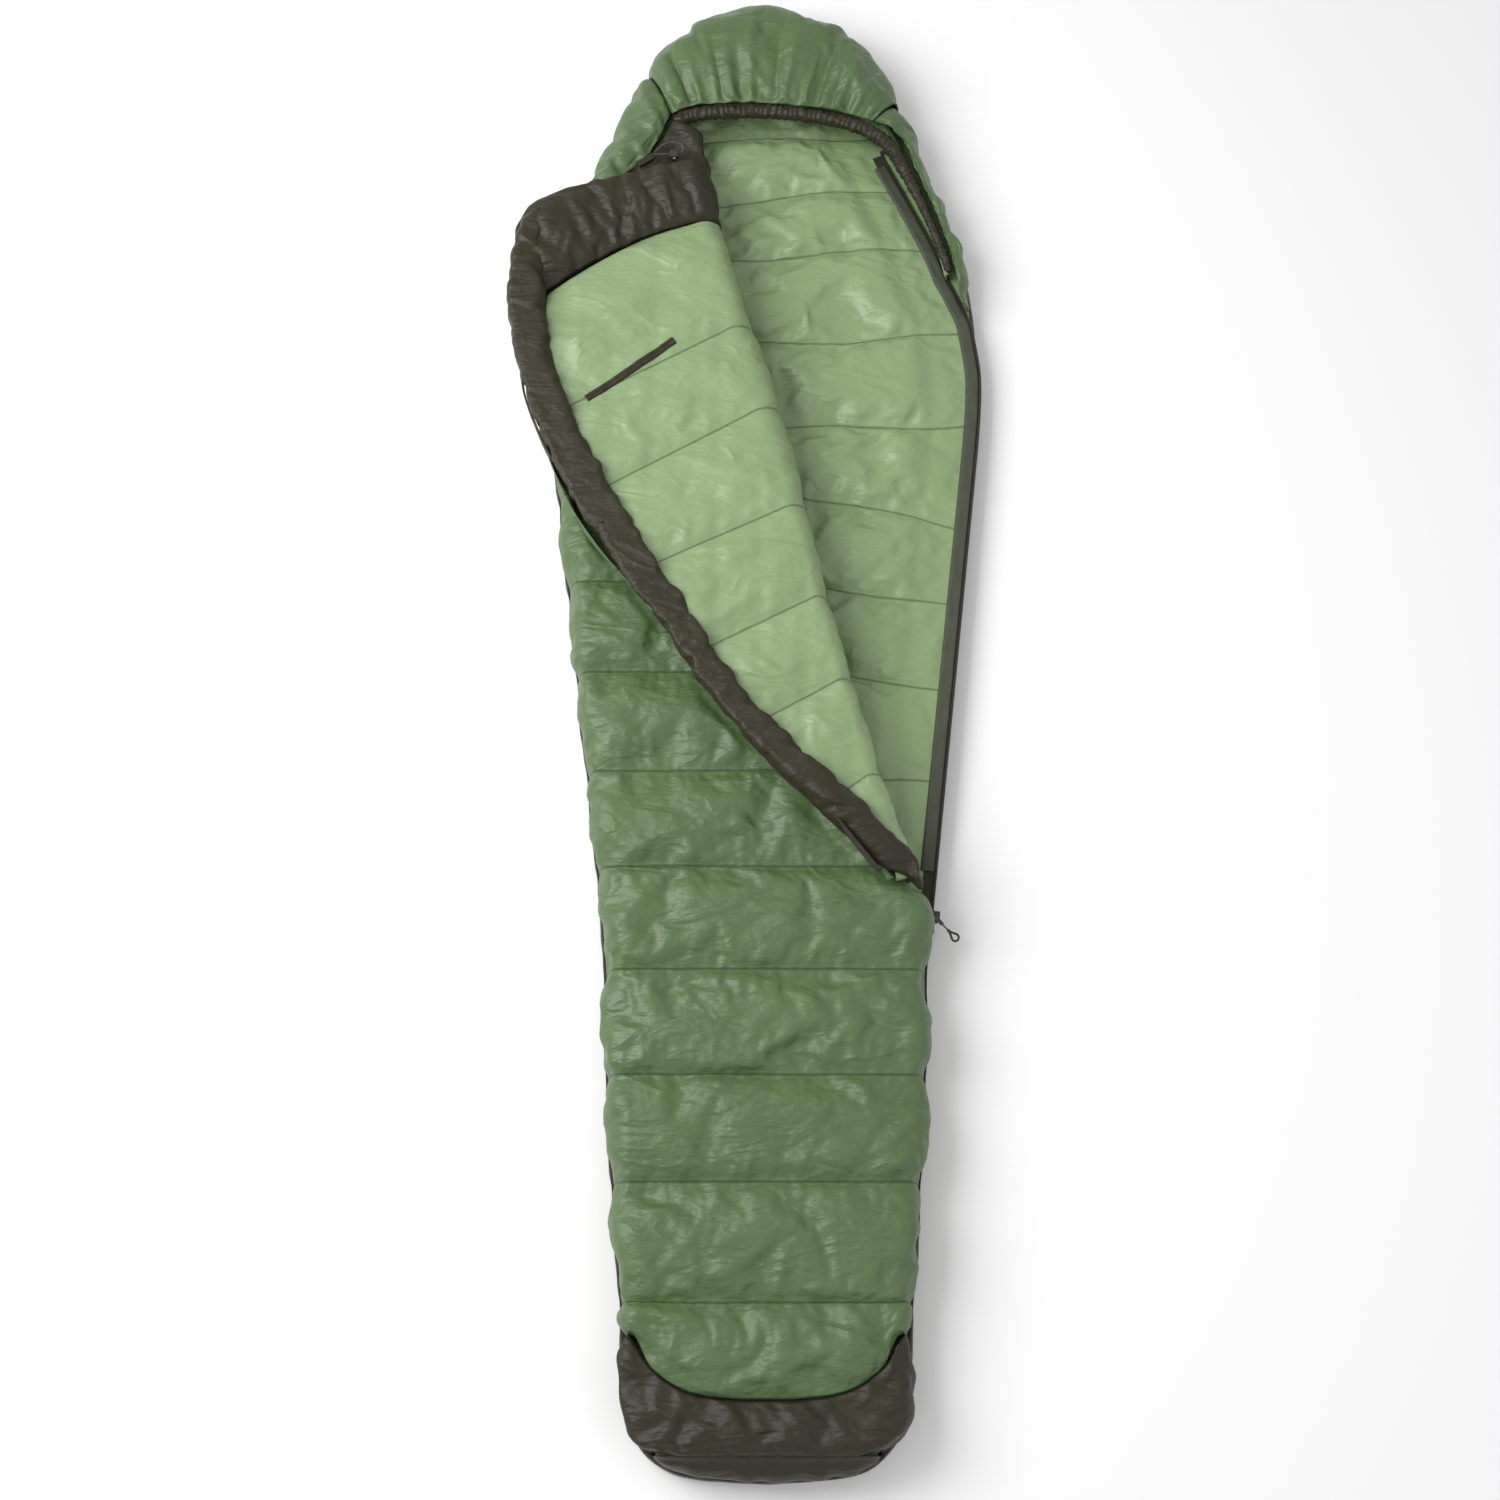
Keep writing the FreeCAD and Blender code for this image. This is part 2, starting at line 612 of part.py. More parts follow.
def slider_plate(low):
    """One of the slider's two plates, narrower at the tail."""
    half = slider_length / 2
    width = slider_outer - slider_inner
    middle = (slider_outer + slider_inner) / 2
    corners = [(middle - width / 2, half), (middle + width / 2, half),
               (middle + width / 2, 0), (middle + width / 2 - 2.2, -half),
               (middle - width / 2 + 1.0, -half), (middle - width / 2, 0)]
    points = [slider_origin + outward * x + run * y for x, y in corners]
    plate = prism(Part.Face(Part.makePolygon(points + [points[0]])), low, low + slider_wing)
    upright = [e for e in plate.Edges if abs(e.BoundBox.ZLength - slider_wing) < 1e-6]
    return plate.makeFillet(1.2, upright)


post_inner = coil_out + half_coil + slider_play
middle_of_slider = (slider_outer + slider_inner) / 2
slider_body = slider_plate(slider_low).fuse([
    slider_plate(plate_high),
    slider_box(post_inner, post_inner + 2.4, -0.5, slider_length / 2 - 1, slider_low + 0.5,
               plate_high + 0.5),
    slider_box(slider_outer - 1.3, slider_outer, -1, slider_length / 2 - 1.5, slider_low + 0.5,
               slider_low + 3.0),
    slider_box(slider_outer - 1.3, slider_outer, -1, slider_length / 2 - 1.5, plate_high - 1.6,
               plate_high + 0.5)])

# The pull swings on a wire bridge on the slider's top plate.
pull_heading = V(0.72, -0.694, 0).normalize()
pull_side = V(pull_heading.y, -pull_heading.x, 0)
bridge_top = plate_high + slider_wing
pivot = slider_origin + outward * middle_of_slider + run * -1.0
pivot.z = bridge_top + bridge_height - bridge_wire / 2 - 0.9


def pull_point(side, ahead, up):
    return pivot + pull_side * side + pull_heading * ahead + V(0, 0, up)


bridge_half = 4.2
bridge_legs = [Part.makeCylinder(bridge_wire / 2, pivot.z - bridge_top + 0.6,
                                 V(foot.x, foot.y, bridge_top - 0.6), V(0, 0, 1))
               for foot in (pull_point(-bridge_half, 0, 0), pull_point(bridge_half, 0, 0))]
bridge_pin = Part.makeCylinder(bridge_wire / 2, 2 * bridge_half + bridge_wire,
                               pull_point(-bridge_half - bridge_wire / 2, 0, 0), pull_side)
parts["slider_body"] = slider_body.fuse([bridge_pin] + bridge_legs)

# ---- pull: tab, cord and moulded loop, drawn level and then dropped about the pivot -----
pull_drop = 14.0                 # degrees below level at rest
eye_play = 0.25
tab_thick = 1.8
tab_long = 15.0
tab_wide = 5.0
pull_cord_radius = 1.0
pull_cord_long = 9.0
ring_long = 20.0
ring_wide = 12.5
ring_wire = 1.5


def pull_prism(points, thickness):
    corners = [pull_point(x, y, -thickness / 2) for x, y in points]
    return Part.Face(Part.makePolygon(corners + [corners[0]])).extrude(V(0, 0, thickness))


def dropped(shape):
    shape.rotate(pivot, pull_side, -pull_drop)
    return shape


eye_radius = bridge_wire / 2 + eye_play + 1.0
eye = Part.makeCylinder(eye_radius, tab_wide, pull_point(-tab_wide / 2, 0, 0), pull_side)
half_tab = tab_wide / 2
tab_plate = pull_prism([(-half_tab, 0), (half_tab, 0), (half_tab, tab_long - 1.5),
                        (half_tab - 1.2, tab_long), (1.2 - half_tab, tab_long),
                        (-half_tab, tab_long - 1.5)], tab_thick)
tab_hole = Part.makeCylinder(bridge_wire / 2 + eye_play, 3 * tab_wide,
                             pull_point(-1.5 * tab_wide, 0, 0), pull_side)
groove = pull_prism([(-1.1, 5), (1.1, 5), (1.1, 11), (-1.1, 11)], 0.7)
groove.translate(V(0, 0, tab_thick / 2))
parts["pull_tab"] = dropped(eye.fuse(tab_plate).cut(tab_hole).cut(groove).removeSplitter())
pull_cord = Part.makeCylinder(pull_cord_radius, pull_cord_long, pull_point(0, tab_long + 0.1, 0),
                              pull_heading)
parts["pull_cord"] = dropped(pull_cord)


def pull_ring():
    """A teardrop of round wire: a pointed neck and a round end."""
    neck = tab_long + pull_cord_long + 0.2
    bow = ring_wide / 2 - ring_wire
    centre = neck + ring_long - ring_wire - bow
    foot = neck + 3.0
    lean = math.asin(bow / (centre - foot))
    left = pull_point(-bow * math.cos(lean), centre - bow * math.sin(lean), 0)
    right = pull_point(bow * math.cos(lean), centre - bow * math.sin(lean), 0)
    start = pull_point(0, foot, 0)
    path = Part.Wire([Part.LineSegment(start, right).toShape(),
                      Part.Arc(right, pull_point(0, centre + bow, 0), left).toShape()])
    profile = Part.Wire(Part.makeCircle(ring_wire, start, right - start))
    half = path.makePipeShell([profile], True, True)
    closing = Part.makeCylinder(ring_wire, (left - start).Length, start, left - start)
    stem = Part.makeCylinder(ring_wire + 0.5, 4.2, pull_point(0, neck, 0), pull_heading)
    tip = Part.makeSphere(ring_wire, start)
    return half.fuse([closing, stem, tip]).removeSplitter()


parts["pull_loop"] = dropped(pull_ring())

# ---- cord lock, its button and spring --------------------------------------------------
lock_x, lock_y = lock_centre
lock_block = Part.makeBox(lock_length, lock_width, lock_height,
                          V(lock_x - lock_length / 2, lock_y - lock_width / 2,
                            loop_z - lock_height / 2))
lock_block = lock_block.makeFillet(2.2, lock_block.Edges)
cord_hole = Part.makeCylinder(loop_radius + lock_play, 40, V(lock_x - 20, lock_y, loop_z), V(1, 0, 0))
button_foot = lock_y - lock_width / 2 - button_stroke - 1.2
well_depth = 5.6
well_start = lock_y - lock_width / 2 - 0.1
button_well = Part.makeCylinder(2.6, well_depth - 2.2, V(lock_x, well_start, loop_z), V(0, 1, 0))
parts["cord_lock_body"] = lock_block.cut(cord_hole).cut(button_well)
button_head = Part.makeCylinder(button_radius, 1.2, V(lock_x, button_foot, loop_z), V(0, 1, 0))
button_head = button_head.makeFillet(0.5, button_head.Edges[:1])
button_stem = Part.makeCylinder(1.7, button_stroke + 0.2, V(lock_x, button_foot + 1.1, loop_z),
                                V(0, 1, 0))
parts["cord_lock_button"] = button_head.fuse(button_stem).removeSplitter()
spring_ring = Part.makeCylinder(2.45, button_stroke - 0.3,
                                V(lock_x, button_foot + 1.35, loop_z), V(0, 1, 0))
parts["cord_lock_spring"] = spring_ring.cut(
    Part.makeCylinder(1.95, 20, V(lock_x, button_foot - 5, loop_z), V(0, 1, 0)))

# ---- cords at the neck -----------------------------------------------------------------
loop_cord, loop_wire, loop_radii = tube(loop_route, loop_radius)
parts["drawcord_loop"] = loop_cord
report_cord("drawcord_loop", loop_cord, loop_wire, loop_radii, loop_radius)
neck_cord, neck_wire, neck_radii = tube(neck_cord_route, neck_cord_radius)
parts["neck_cord"] = neck_cord
report_cord("neck_cord", neck_cord, neck_wire, neck_radii, neck_cord_radius)

tab_heading = (plan(tab_end) - plan(tab_start)).normalize()
tab_across = V(-tab_heading.y, tab_heading.x, 0)
tab_corners = [plan(tab_start) + tab_across * (tab_width / 2), plan(tab_end) + tab_across * (tab_width / 2),
               plan(tab_end) - tab_across * (tab_width / 2), plan(tab_start) - tab_across * (tab_width / 2)]
webbing = prism(Part.Face(Part.makePolygon(tab_corners + [tab_corners[0]])), deck, deck + 1.8)
parts["cord_anchor_tab"] = webbing

# ---- export ----------------------------------------------------------------------------
os.makedirs("parts", exist_ok=True)
total = 0.0
for name, shape in parts.items():
    if not shape.isValid() or shape.Volume <= 0:
        print("CHECK", name, shape.isValid(), shape.Volume)
    total += shape.Volume
    shape.exportStep("parts/%s.step" % name)
print(len(parts), "nodes, volume %.1f litres" % (total / 1e6))
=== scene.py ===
"""A mummy sleeping bag, half unzipped, its flap folded back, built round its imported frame."""
import json
import math

import bmesh
import bpy
import numpy as np
from mathutils import Matrix, Vector


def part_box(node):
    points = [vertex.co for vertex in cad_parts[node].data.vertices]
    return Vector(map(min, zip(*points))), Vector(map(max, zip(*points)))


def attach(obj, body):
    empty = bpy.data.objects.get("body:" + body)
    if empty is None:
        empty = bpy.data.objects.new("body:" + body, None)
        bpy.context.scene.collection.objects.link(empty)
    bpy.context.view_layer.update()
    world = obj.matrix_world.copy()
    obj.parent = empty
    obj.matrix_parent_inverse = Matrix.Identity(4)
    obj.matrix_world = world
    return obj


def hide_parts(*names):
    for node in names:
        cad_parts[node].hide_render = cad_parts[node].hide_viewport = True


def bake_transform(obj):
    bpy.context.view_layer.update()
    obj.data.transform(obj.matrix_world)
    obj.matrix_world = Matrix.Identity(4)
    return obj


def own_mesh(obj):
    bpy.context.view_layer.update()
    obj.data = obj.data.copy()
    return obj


bl_info = {
    "name": "Mummy sleeping bag",
    "version": (1, 0, 0),
    "blender": (4, 5, 0),
    "location": "3D View > Sidebar > Sleeping bag",
    "description": "Quilted mummy bag with a folded-back flap, zip and cord hardware",
    "category": "Object",
}

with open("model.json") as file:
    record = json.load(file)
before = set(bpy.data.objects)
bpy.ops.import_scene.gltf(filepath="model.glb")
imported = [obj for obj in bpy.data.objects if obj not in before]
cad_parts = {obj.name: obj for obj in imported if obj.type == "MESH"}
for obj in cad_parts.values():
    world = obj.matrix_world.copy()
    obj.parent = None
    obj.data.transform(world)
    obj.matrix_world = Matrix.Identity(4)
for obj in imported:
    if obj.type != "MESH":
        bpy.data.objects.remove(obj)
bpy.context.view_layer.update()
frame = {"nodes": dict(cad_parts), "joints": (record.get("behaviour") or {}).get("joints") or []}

# ---- the bag's own lines, metres ----------------------------------------------------------
JOINTS = {j["name"]: j for j in frame["joints"]}
FOLD = JOINTS["flap_fold"]
FOLD_FOOT = np.array(FOLD["pos_m"][:2], float)
ALONG = np.array(FOLD["axis"][:2], float)
ALONG = ALONG / np.linalg.norm(ALONG)
ACROSS = np.array([ALONG[1], -ALONG[0]])
LID_LOW = 0.0318
LID_TOP = 0.090
ROOF_LOW = 0.058
EDGE_ROUND = 0.024
NECK_Y = 0.629
FOOT_Y = -0.941
LAST_SEAM_Y = -0.828
OPENING_Y = (-0.338, -0.292)
NECK_T = 1.085
COLLAR_T = 0.987
FOLD_BACK = 0.017
# Heights that keep cloth clear of the pieces above it, laid back and shut.
UNDER_FLAP_Z = 0.0885
QUILT_LIMIT_Z = 0.0985
LINING_LIMIT_Z = 0.1385
COLLAR_LIMIT_Z = 0.1480
TUBE_LIMIT_Z = 0.1455
TOP_SEAMS = [0.507, 0.375, 0.243, 0.111, -0.018, -0.155, -0.284, -0.418, -0.552, -0.684, -0.828]
BASE_SEAMS = [0.833, 0.739, 0.640, 0.500, 0.3635, 0.243, 0.118, -0.010, -0.155, -0.284]
FLAP_SEAMS = [0.165, 0.297, 0.415, 0.549, 0.699, 0.830]


def table(pairs):
    """A smooth curve through (x, y) stations, as a function."""
    xs, ys = np.array(pairs, float).T
    slope = np.gradient(ys, xs)

    def value(x):
        x = np.clip(x, xs[0], xs[-1])
        i = np.clip(np.searchsorted(xs, x) - 1, 0, len(xs) - 2)
        gap = xs[i + 1] - xs[i]
        r = (x - xs[i]) / gap
        return ((2 * r**3 - 3 * r**2 + 1) * ys[i] + (r**3 - 2 * r**2 + r) * gap * slope[i]
                + (3 * r**2 - 2 * r**3) * ys[i + 1] + (r**3 - r**2) * gap * slope[i + 1])

    return value


def smooth(x, low=0.0, high=1.0):
    r = np.clip((np.asarray(x, float) - low) / (high - low), 0, 1)
    return r * r * (3 - 2 * r)


def ripple(x, y, seed, wave, count=7):
    """Seeded unevenness between about -1 and 1 with waves near the given length."""
    draw = np.random.default_rng(seed)
    total = 0.0
    for _ in range(count):
        turn = draw.uniform(0, 2 * math.pi)
        length = wave * draw.uniform(0.6, 1.7)
        phase = draw.uniform(0, 2 * math.pi)
        total = total + np.sin((x * math.cos(turn) + y * math.sin(turn)) * 2 * math.pi / length + phase)
    return total / math.sqrt(count) / 1.4


def node_points(name):
    return np.array([v.co for v in frame["nodes"][name].data.vertices], float)


def fold_xy(s, t):
    """Plan points, s across the fold line to the zip side and t along it from its foot."""
    s, t = np.asarray(s, float), np.asarray(t, float)
    return (FOLD_FOOT[0] + ACROSS[0] * s + ALONG[0] * t, FOLD_FOOT[1] + ACROSS[1] * s + ALONG[1] * t)


def fold_st(x, y):
    dx, dy = np.asarray(x) - FOLD_FOOT[0], np.asarray(y) - FOLD_FOOT[1]
    return dx * ACROSS[0] + dy * ACROSS[1], dx * ALONG[0] + dy * ALONG[1]


def plan_ring():
    """The bag's outline as a dense closed line, turning left from the zip side's middle."""
    points = np.unique(node_points("base_lining")[:, :2].round(5), axis=0)
    turn = np.arctan2(points[:, 1], points[:, 0])
    points = points[np.argsort(turn)]
    points = np.vstack([points, points[:1]])
    steps = np.r_[0, np.cumsum(np.linalg.norm(np.diff(points, axis=0), axis=1))]
    at = np.linspace(0, steps[-1], 4000, endpoint=False)
    return np.stack([np.interp(at, steps, points[:, k]) for k in (0, 1)], 1)


RING = plan_ring()


def half_width(y):
    """The outline's distance from the centreline at station y."""
    right = RING[RING[:, 0] > 0]
    right = right[np.argsort(right[:, 1])]
    return np.interp(y, right[:, 1], right[:, 0])


def resample(line, count):
    line = np.asarray(line, float)
    steps = np.r_[0, np.cumsum(np.linalg.norm(np.diff(line, axis=0), axis=1))]
    at = np.linspace(0, steps[-1], count)
    return np.stack([np.interp(at, steps, line[:, k]) for k in range(line.shape[1])], 1)


def ring_part(start, end, count):
    """Part of the outline, turning left from near one plan point to near another."""
    i = int(np.argmin(np.linalg.norm(RING - np.array(start), axis=1)))
    j = int(np.argmin(np.linalg.norm(RING - np.array(end), axis=1)))
    if j < i:
        j += len(RING)
    return resample(RING[np.arange(i, j + 1) % len(RING)], count)


def inward(line):
    step = np.gradient(line, axis=0)
    step = step / np.linalg.norm(step, axis=1)[:, None]
    return np.stack([-step[:, 1], step[:, 0]], 1)


def rounded_line(points, count):
    """A smooth line through the points."""
    points = np.asarray(points, float)
    steps = np.r_[0, np.cumsum(np.linalg.norm(np.diff(points, axis=0), axis=1))]
    curves = [table(list(zip(steps, points[:, k]))) for k in range(points.shape[1])]
    at = np.linspace(0, steps[-1], count)
    return np.stack([c(at) for c in curves], 1)


# Where the flap's zip edge lies when it is laid back, and the puffed band along it.
flap_points = node_points("flap_lining")
edge_s, edge_t = fold_st(flap_points[:, 0], flap_points[:, 1])
outer = (edge_s < -0.03) & (edge_t < 0.99)
order = np.argsort(edge_t[outer])
zip_edge_t, zip_edge_s = edge_t[outer][order], edge_s[outer][order]


def zip_edge(t):
    return np.interp(t, zip_edge_t, zip_edge_s)


band_outer = table([(0.000, 0.004), (0.012, -0.003), (0.045, -0.042), (0.084, -0.067),
                    (0.141, -0.099), (0.194, -0.129), (0.252, -0.157), (0.335, -0.192),
                    (0.427, -0.221), (0.508, -0.251), (0.565, -0.270), (0.666, -0.295),
                    (0.715, -0.303), (0.797, -0.310), (0.860, -0.311), (0.938, -0.302),
                    (0.998, -0.284), (1.042, -0.264), (1.066, -0.246), (1.080, -0.222)])
band_inner = table([(0.000, 0.014), (0.047, 0.008), (0.117, -0.033), (0.209, -0.086),
                    (0.308, -0.139), (0.433, -0.180), (0.607, -0.228), (0.759, -0.258),
                    (0.886, -0.261), (0.948, -0.250), (1.000, -0.236), (1.042, -0.218),
                    (1.066, -0.205), (1.080, -0.190)])
fold_reach = table([(0.000, 0.010), (0.060, 0.010), (0.165, 0.005), (0.281, 0.004), (0.412, 0.005),
                    (0.520, 0.011), (0.631, 0.018), (0.788, 0.019), (0.870, 0.015), (1.010, 0.016),
                    (1.118, 0.019)])
flap_rise = table([(0.000, 0.102), (0.050, 0.108), (0.120, 0.119), (0.200, 0.124), (1.200, 0.124)])
seam_slope = table([(0.000, 0.00), (0.100, 0.25), (0.165, 0.33), (0.297, 0.24), (0.415, 0.20),
                    (0.549, 0.17), (0.699, 0.245), (0.830, 0.23), (1.000, 0.02), (1.200, 0.0)])


# ---- settings -----------------------------------------------------------------------------
def colour(name, what, value):
    return bpy.props.FloatVectorProperty(name=name, description=what, subtype="COLOR", size=4,
                                         min=0.0, max=1.0, default=(*value, 1.0))


def length(name, what, value):
    return bpy.props.FloatProperty(name=name, description=what, unit="LENGTH", default=value,
                                   min=0.0, precision=4)


class ClothColours(bpy.types.PropertyGroup):
    """Colours of the bag's fabrics and fittings."""
    shell: colour("Shell", "Outer fabric of the quilts and hood", (0.078, 0.136, 0.047))
    lining: colour("Lining", "Inner taffeta", (0.222, 0.318, 0.150))
    brown: colour("Brown", "Foot, collar, draft tube and piping", (0.023, 0.0190, 0.0070))
    facing: colour("Facing", "Webbing that stiffens the zip's edge", (0.050, 0.055, 0.034))
    tape: colour("Zip tape", "Woven tape of the zip", (0.026, 0.020, 0.012))
    cord: colour("Cord", "Braided cords", (0.085, 0.075, 0.050))
    metal: colour("Slider metal", "Enamelled slider and pull tab", (0.055, 0.052, 0.045))
    plastic: colour("Plastic", "Cord lock and pull loop", (0.030, 0.029, 0.025))


class QuiltSizes(bpy.types.PropertyGroup):
    """Sizes of the quilting."""
    cell: length("Cell", "Size of the cloth's mesh cells", 0.0085)
    seam_depth: length("Seam depth", "How far the quilting seams pull in", 0.010)
    cloth: length("Cloth", "Thickness of the shell and lining fabric", 0.0012)
    tube_high: length("Tube height", "Height of the draft tube above the lining", 0.0215)
    collar_high: length("Collar height", "Puff of the neck collar above the lining", 0.016)
    channel: length("Channel radius", "Radius of the gathered drawcord channel", 0.0088)
    tooth: length("Tooth pitch", "Distance from one zip tooth to the next", 0.0024)


class StageSizes(bpy.types.PropertyGroup):
    """The stage round the bag."""
    distance: length("Camera distance", "From the aim point to the camera", 2.9)
    elevation: bpy.props.FloatProperty(name="Elevation", description="Camera angle above the floor",
                                       subtype="ANGLE", default=math.radians(72))
    key_power: bpy.props.FloatProperty(name="Key light", description="Power of the large soft light",
                                       unit="POWER", default=64.0, min=0.0)
    fill_power: bpy.props.FloatProperty(name="Fill light", description="Power of the fill light",
                                        unit="POWER", default=8.0, min=0.0)
    sky: bpy.props.FloatProperty(name="Sky", description="Strength of the even white sky",
                                 default=0.62, min=0.0)


# ---- materials ----------------------------------------------------------------------------
def add(tree, kind, **values):
    """A node with its settings, and its inputs by name."""
    made = tree.nodes.new(kind)
    for key, value in values.items():
        if hasattr(made, key):
            setattr(made, key, value)
        else:
            made.inputs[key.replace("_", " ")].default_value = value
    return made


def maths(tree, operation, first, second=0.5):
    made = tree.nodes.new("ShaderNodeMath")
    made.operation = operation
    for slot, value in zip(made.inputs, (first, second)):
        if isinstance(value, bpy.types.NodeSocket):
            tree.links.new(value, slot)
        else:
            slot.default_value = value
    return made.outputs[0]


def woven_group():
    """Cloth surface: uneven dye, crumpled taffeta and a fine square weave."""
    tree = bpy.data.node_groups.get("Woven cloth")
    if tree:
        return tree
    tree = bpy.data.node_groups.new("Woven cloth", "ShaderNodeTree")
    face = tree.interface
    face.new_socket(name="Place", in_out="INPUT", socket_type="NodeSocketVector")
    face.new_socket(name="Dye", in_out="INPUT", socket_type="NodeSocketColor")
    for name, value in (("Mottle", 0.10), ("Crumple", 1.0), ("Weave", 1.0), ("Pitch", 5200.0),
                        ("Sheen gap", 0.08), ("Base roughness", 0.42)):
        face.new_socket(name=name, in_out="INPUT", socket_type="NodeSocketFloat").default_value = value
    face.new_socket(name="Colour", in_out="OUTPUT", socket_type="NodeSocketColor")
    face.new_socket(name="Roughness", in_out="OUTPUT", socket_type="NodeSocketFloat")
    face.new_socket(name="Height", in_out="OUTPUT", socket_type="NodeSocketFloat")
    come = tree.nodes.new("NodeGroupInput")
    leave = tree.nodes.new("NodeGroupOutput")
    link = tree.links.new

    broad = add(tree, "ShaderNodeTexNoise", Scale=7.0, Detail=3.0, Roughness=0.55)
    folds = add(tree, "ShaderNodeTexNoise", Scale=21.0, Detail=2.0, Roughness=0.45, Distortion=0.6)
    fine = add(tree, "ShaderNodeTexNoise", Scale=120.0, Detail=2.0, Roughness=0.5, Distortion=0.3)
    drawn = tree.nodes.new("ShaderNodeVectorMath")
    drawn.operation = "MULTIPLY"
    drawn.inputs[1].default_value = (0.62, 1.30, 0.8)
    link(come.outputs["Place"], drawn.inputs[0])
    link(come.outputs["Place"], broad.inputs["Vector"])
    for texture in (folds, fine):
        link(drawn.outputs[0], texture.inputs["Vector"])
    parts = tree.nodes.new("ShaderNodeSeparateXYZ")
    link(come.outputs["Place"], parts.inputs[0])
    warp = maths(tree, "SINE", maths(tree, "MULTIPLY", parts.outputs["X"], come.outputs["Pitch"]))
    weft = maths(tree, "SINE", maths(tree, "MULTIPLY", parts.outputs["Y"], come.outputs["Pitch"]))
    weave = maths(tree, "MULTIPLY", warp, weft)
    ridge = maths(tree, "ABSOLUTE", maths(tree, "SUBTRACT", folds.outputs[0], 0.5))
    ridge = maths(tree, "SUBTRACT", 0.5, maths(tree, "MULTIPLY", ridge, 2.2))
    crumple = maths(tree, "ADD", ridge, maths(tree, "MULTIPLY", fine.outputs[0], 0.35))
    crumple = maths(tree, "MULTIPLY", crumple, come.outputs["Crumple"])
    height = maths(tree, "ADD", crumple,
                   maths(tree, "MULTIPLY", maths(tree, "MULTIPLY", weave, 0.005), come.outputs["Weave"]))
    link(height, leave.inputs["Height"])

    tone = maths(tree, "SUBTRACT", broad.outputs[0], 0.5)
    speckle = maths(tree, "SUBTRACT", fine.outputs[0], 0.5)
    tone = maths(tree, "ADD", tone, maths(tree, "MULTIPLY", speckle, 0.35))
    tone = maths(tree, "ADD", tone, maths(tree, "MULTIPLY", weave, 0.10))
    mottle = maths(tree, "MULTIPLY", come.outputs["Mottle"], 2.0)
    tone = maths(tree, "ADD", 1.0, maths(tree, "MULTIPLY", tone, mottle))
    dyed = tree.nodes.new("ShaderNodeVectorMath")
    dyed.operation = "SCALE"
    link(come.outputs["Dye"], dyed.inputs[0])
    link(tone, dyed.inputs["Scale"])
    link(dyed.outputs[0], leave.inputs["Colour"])
    rough = maths(tree, "ADD", come.outputs["Base roughness"],
                  maths(tree, "MULTIPLY", maths(tree, "SUBTRACT", broad.outputs[0], 0.5),
                        maths(tree, "MULTIPLY", come.outputs["Sheen gap"], 2.0)))
    rough = maths(tree, "ADD", rough, maths(tree, "MULTIPLY", weave, 0.02))
    link(rough, leave.inputs["Roughness"])
    return tree


def stitch_group():
    """A row of lock stitches in a pressed-in seam line, with a painted shade mask along it."""
    tree = bpy.data.node_groups.get("Stitched seam")
    if tree:
        return tree
    tree = bpy.data.node_groups.new("Stitched seam", "ShaderNodeTree")
    face = tree.interface
    for name in ("Distance", "Run"):
        face.new_socket(name=name, in_out="INPUT", socket_type="NodeSocketFloat")
    for name in ("Shade", "Thread", "Height"):
        face.new_socket(name=name, in_out="OUTPUT", socket_type="NodeSocketFloat")
    come = tree.nodes.new("NodeGroupInput")
    leave = tree.nodes.new("NodeGroupOutput")
    away = maths(tree, "ABSOLUTE", come.outputs["Distance"], 0.0)
    # Shade is painted shade: 1 on the seam line, fading to 0 at 2.2 mm; it darkens the colour and also sinks
    # the groove.
    shade = maths(tree, "SUBTRACT", 1.0, maths(tree, "MINIMUM", maths(tree, "DIVIDE", away, 0.0022), 1.0))
    dash = maths(tree, "GREATER_THAN", maths(tree, "SINE", maths(tree, "MULTIPLY", come.outputs["Run"],
                                                                  2 * math.pi / 0.0036)), -0.55)
    thread = maths(tree, "MULTIPLY", maths(tree, "LESS_THAN", away, 0.00055), dash)
    height = maths(tree, "SUBTRACT", maths(tree, "MULTIPLY", thread, 0.10),
                   maths(tree, "MULTIPLY", shade, 0.22))
    tree.links.new(shade, leave.inputs["Shade"])
    tree.links.new(thread, leave.inputs["Thread"])
    tree.links.new(height, leave.inputs["Height"])
    return tree


def group_node(tree, group):
    made = tree.nodes.new("ShaderNodeGroup")
    made.node_tree = group
    return made


def new_material(name):
    material = bpy.data.materials.new(name)
    material.use_nodes = True
    tree = material.node_tree
    return material, tree, tree.nodes["Principled BSDF"]


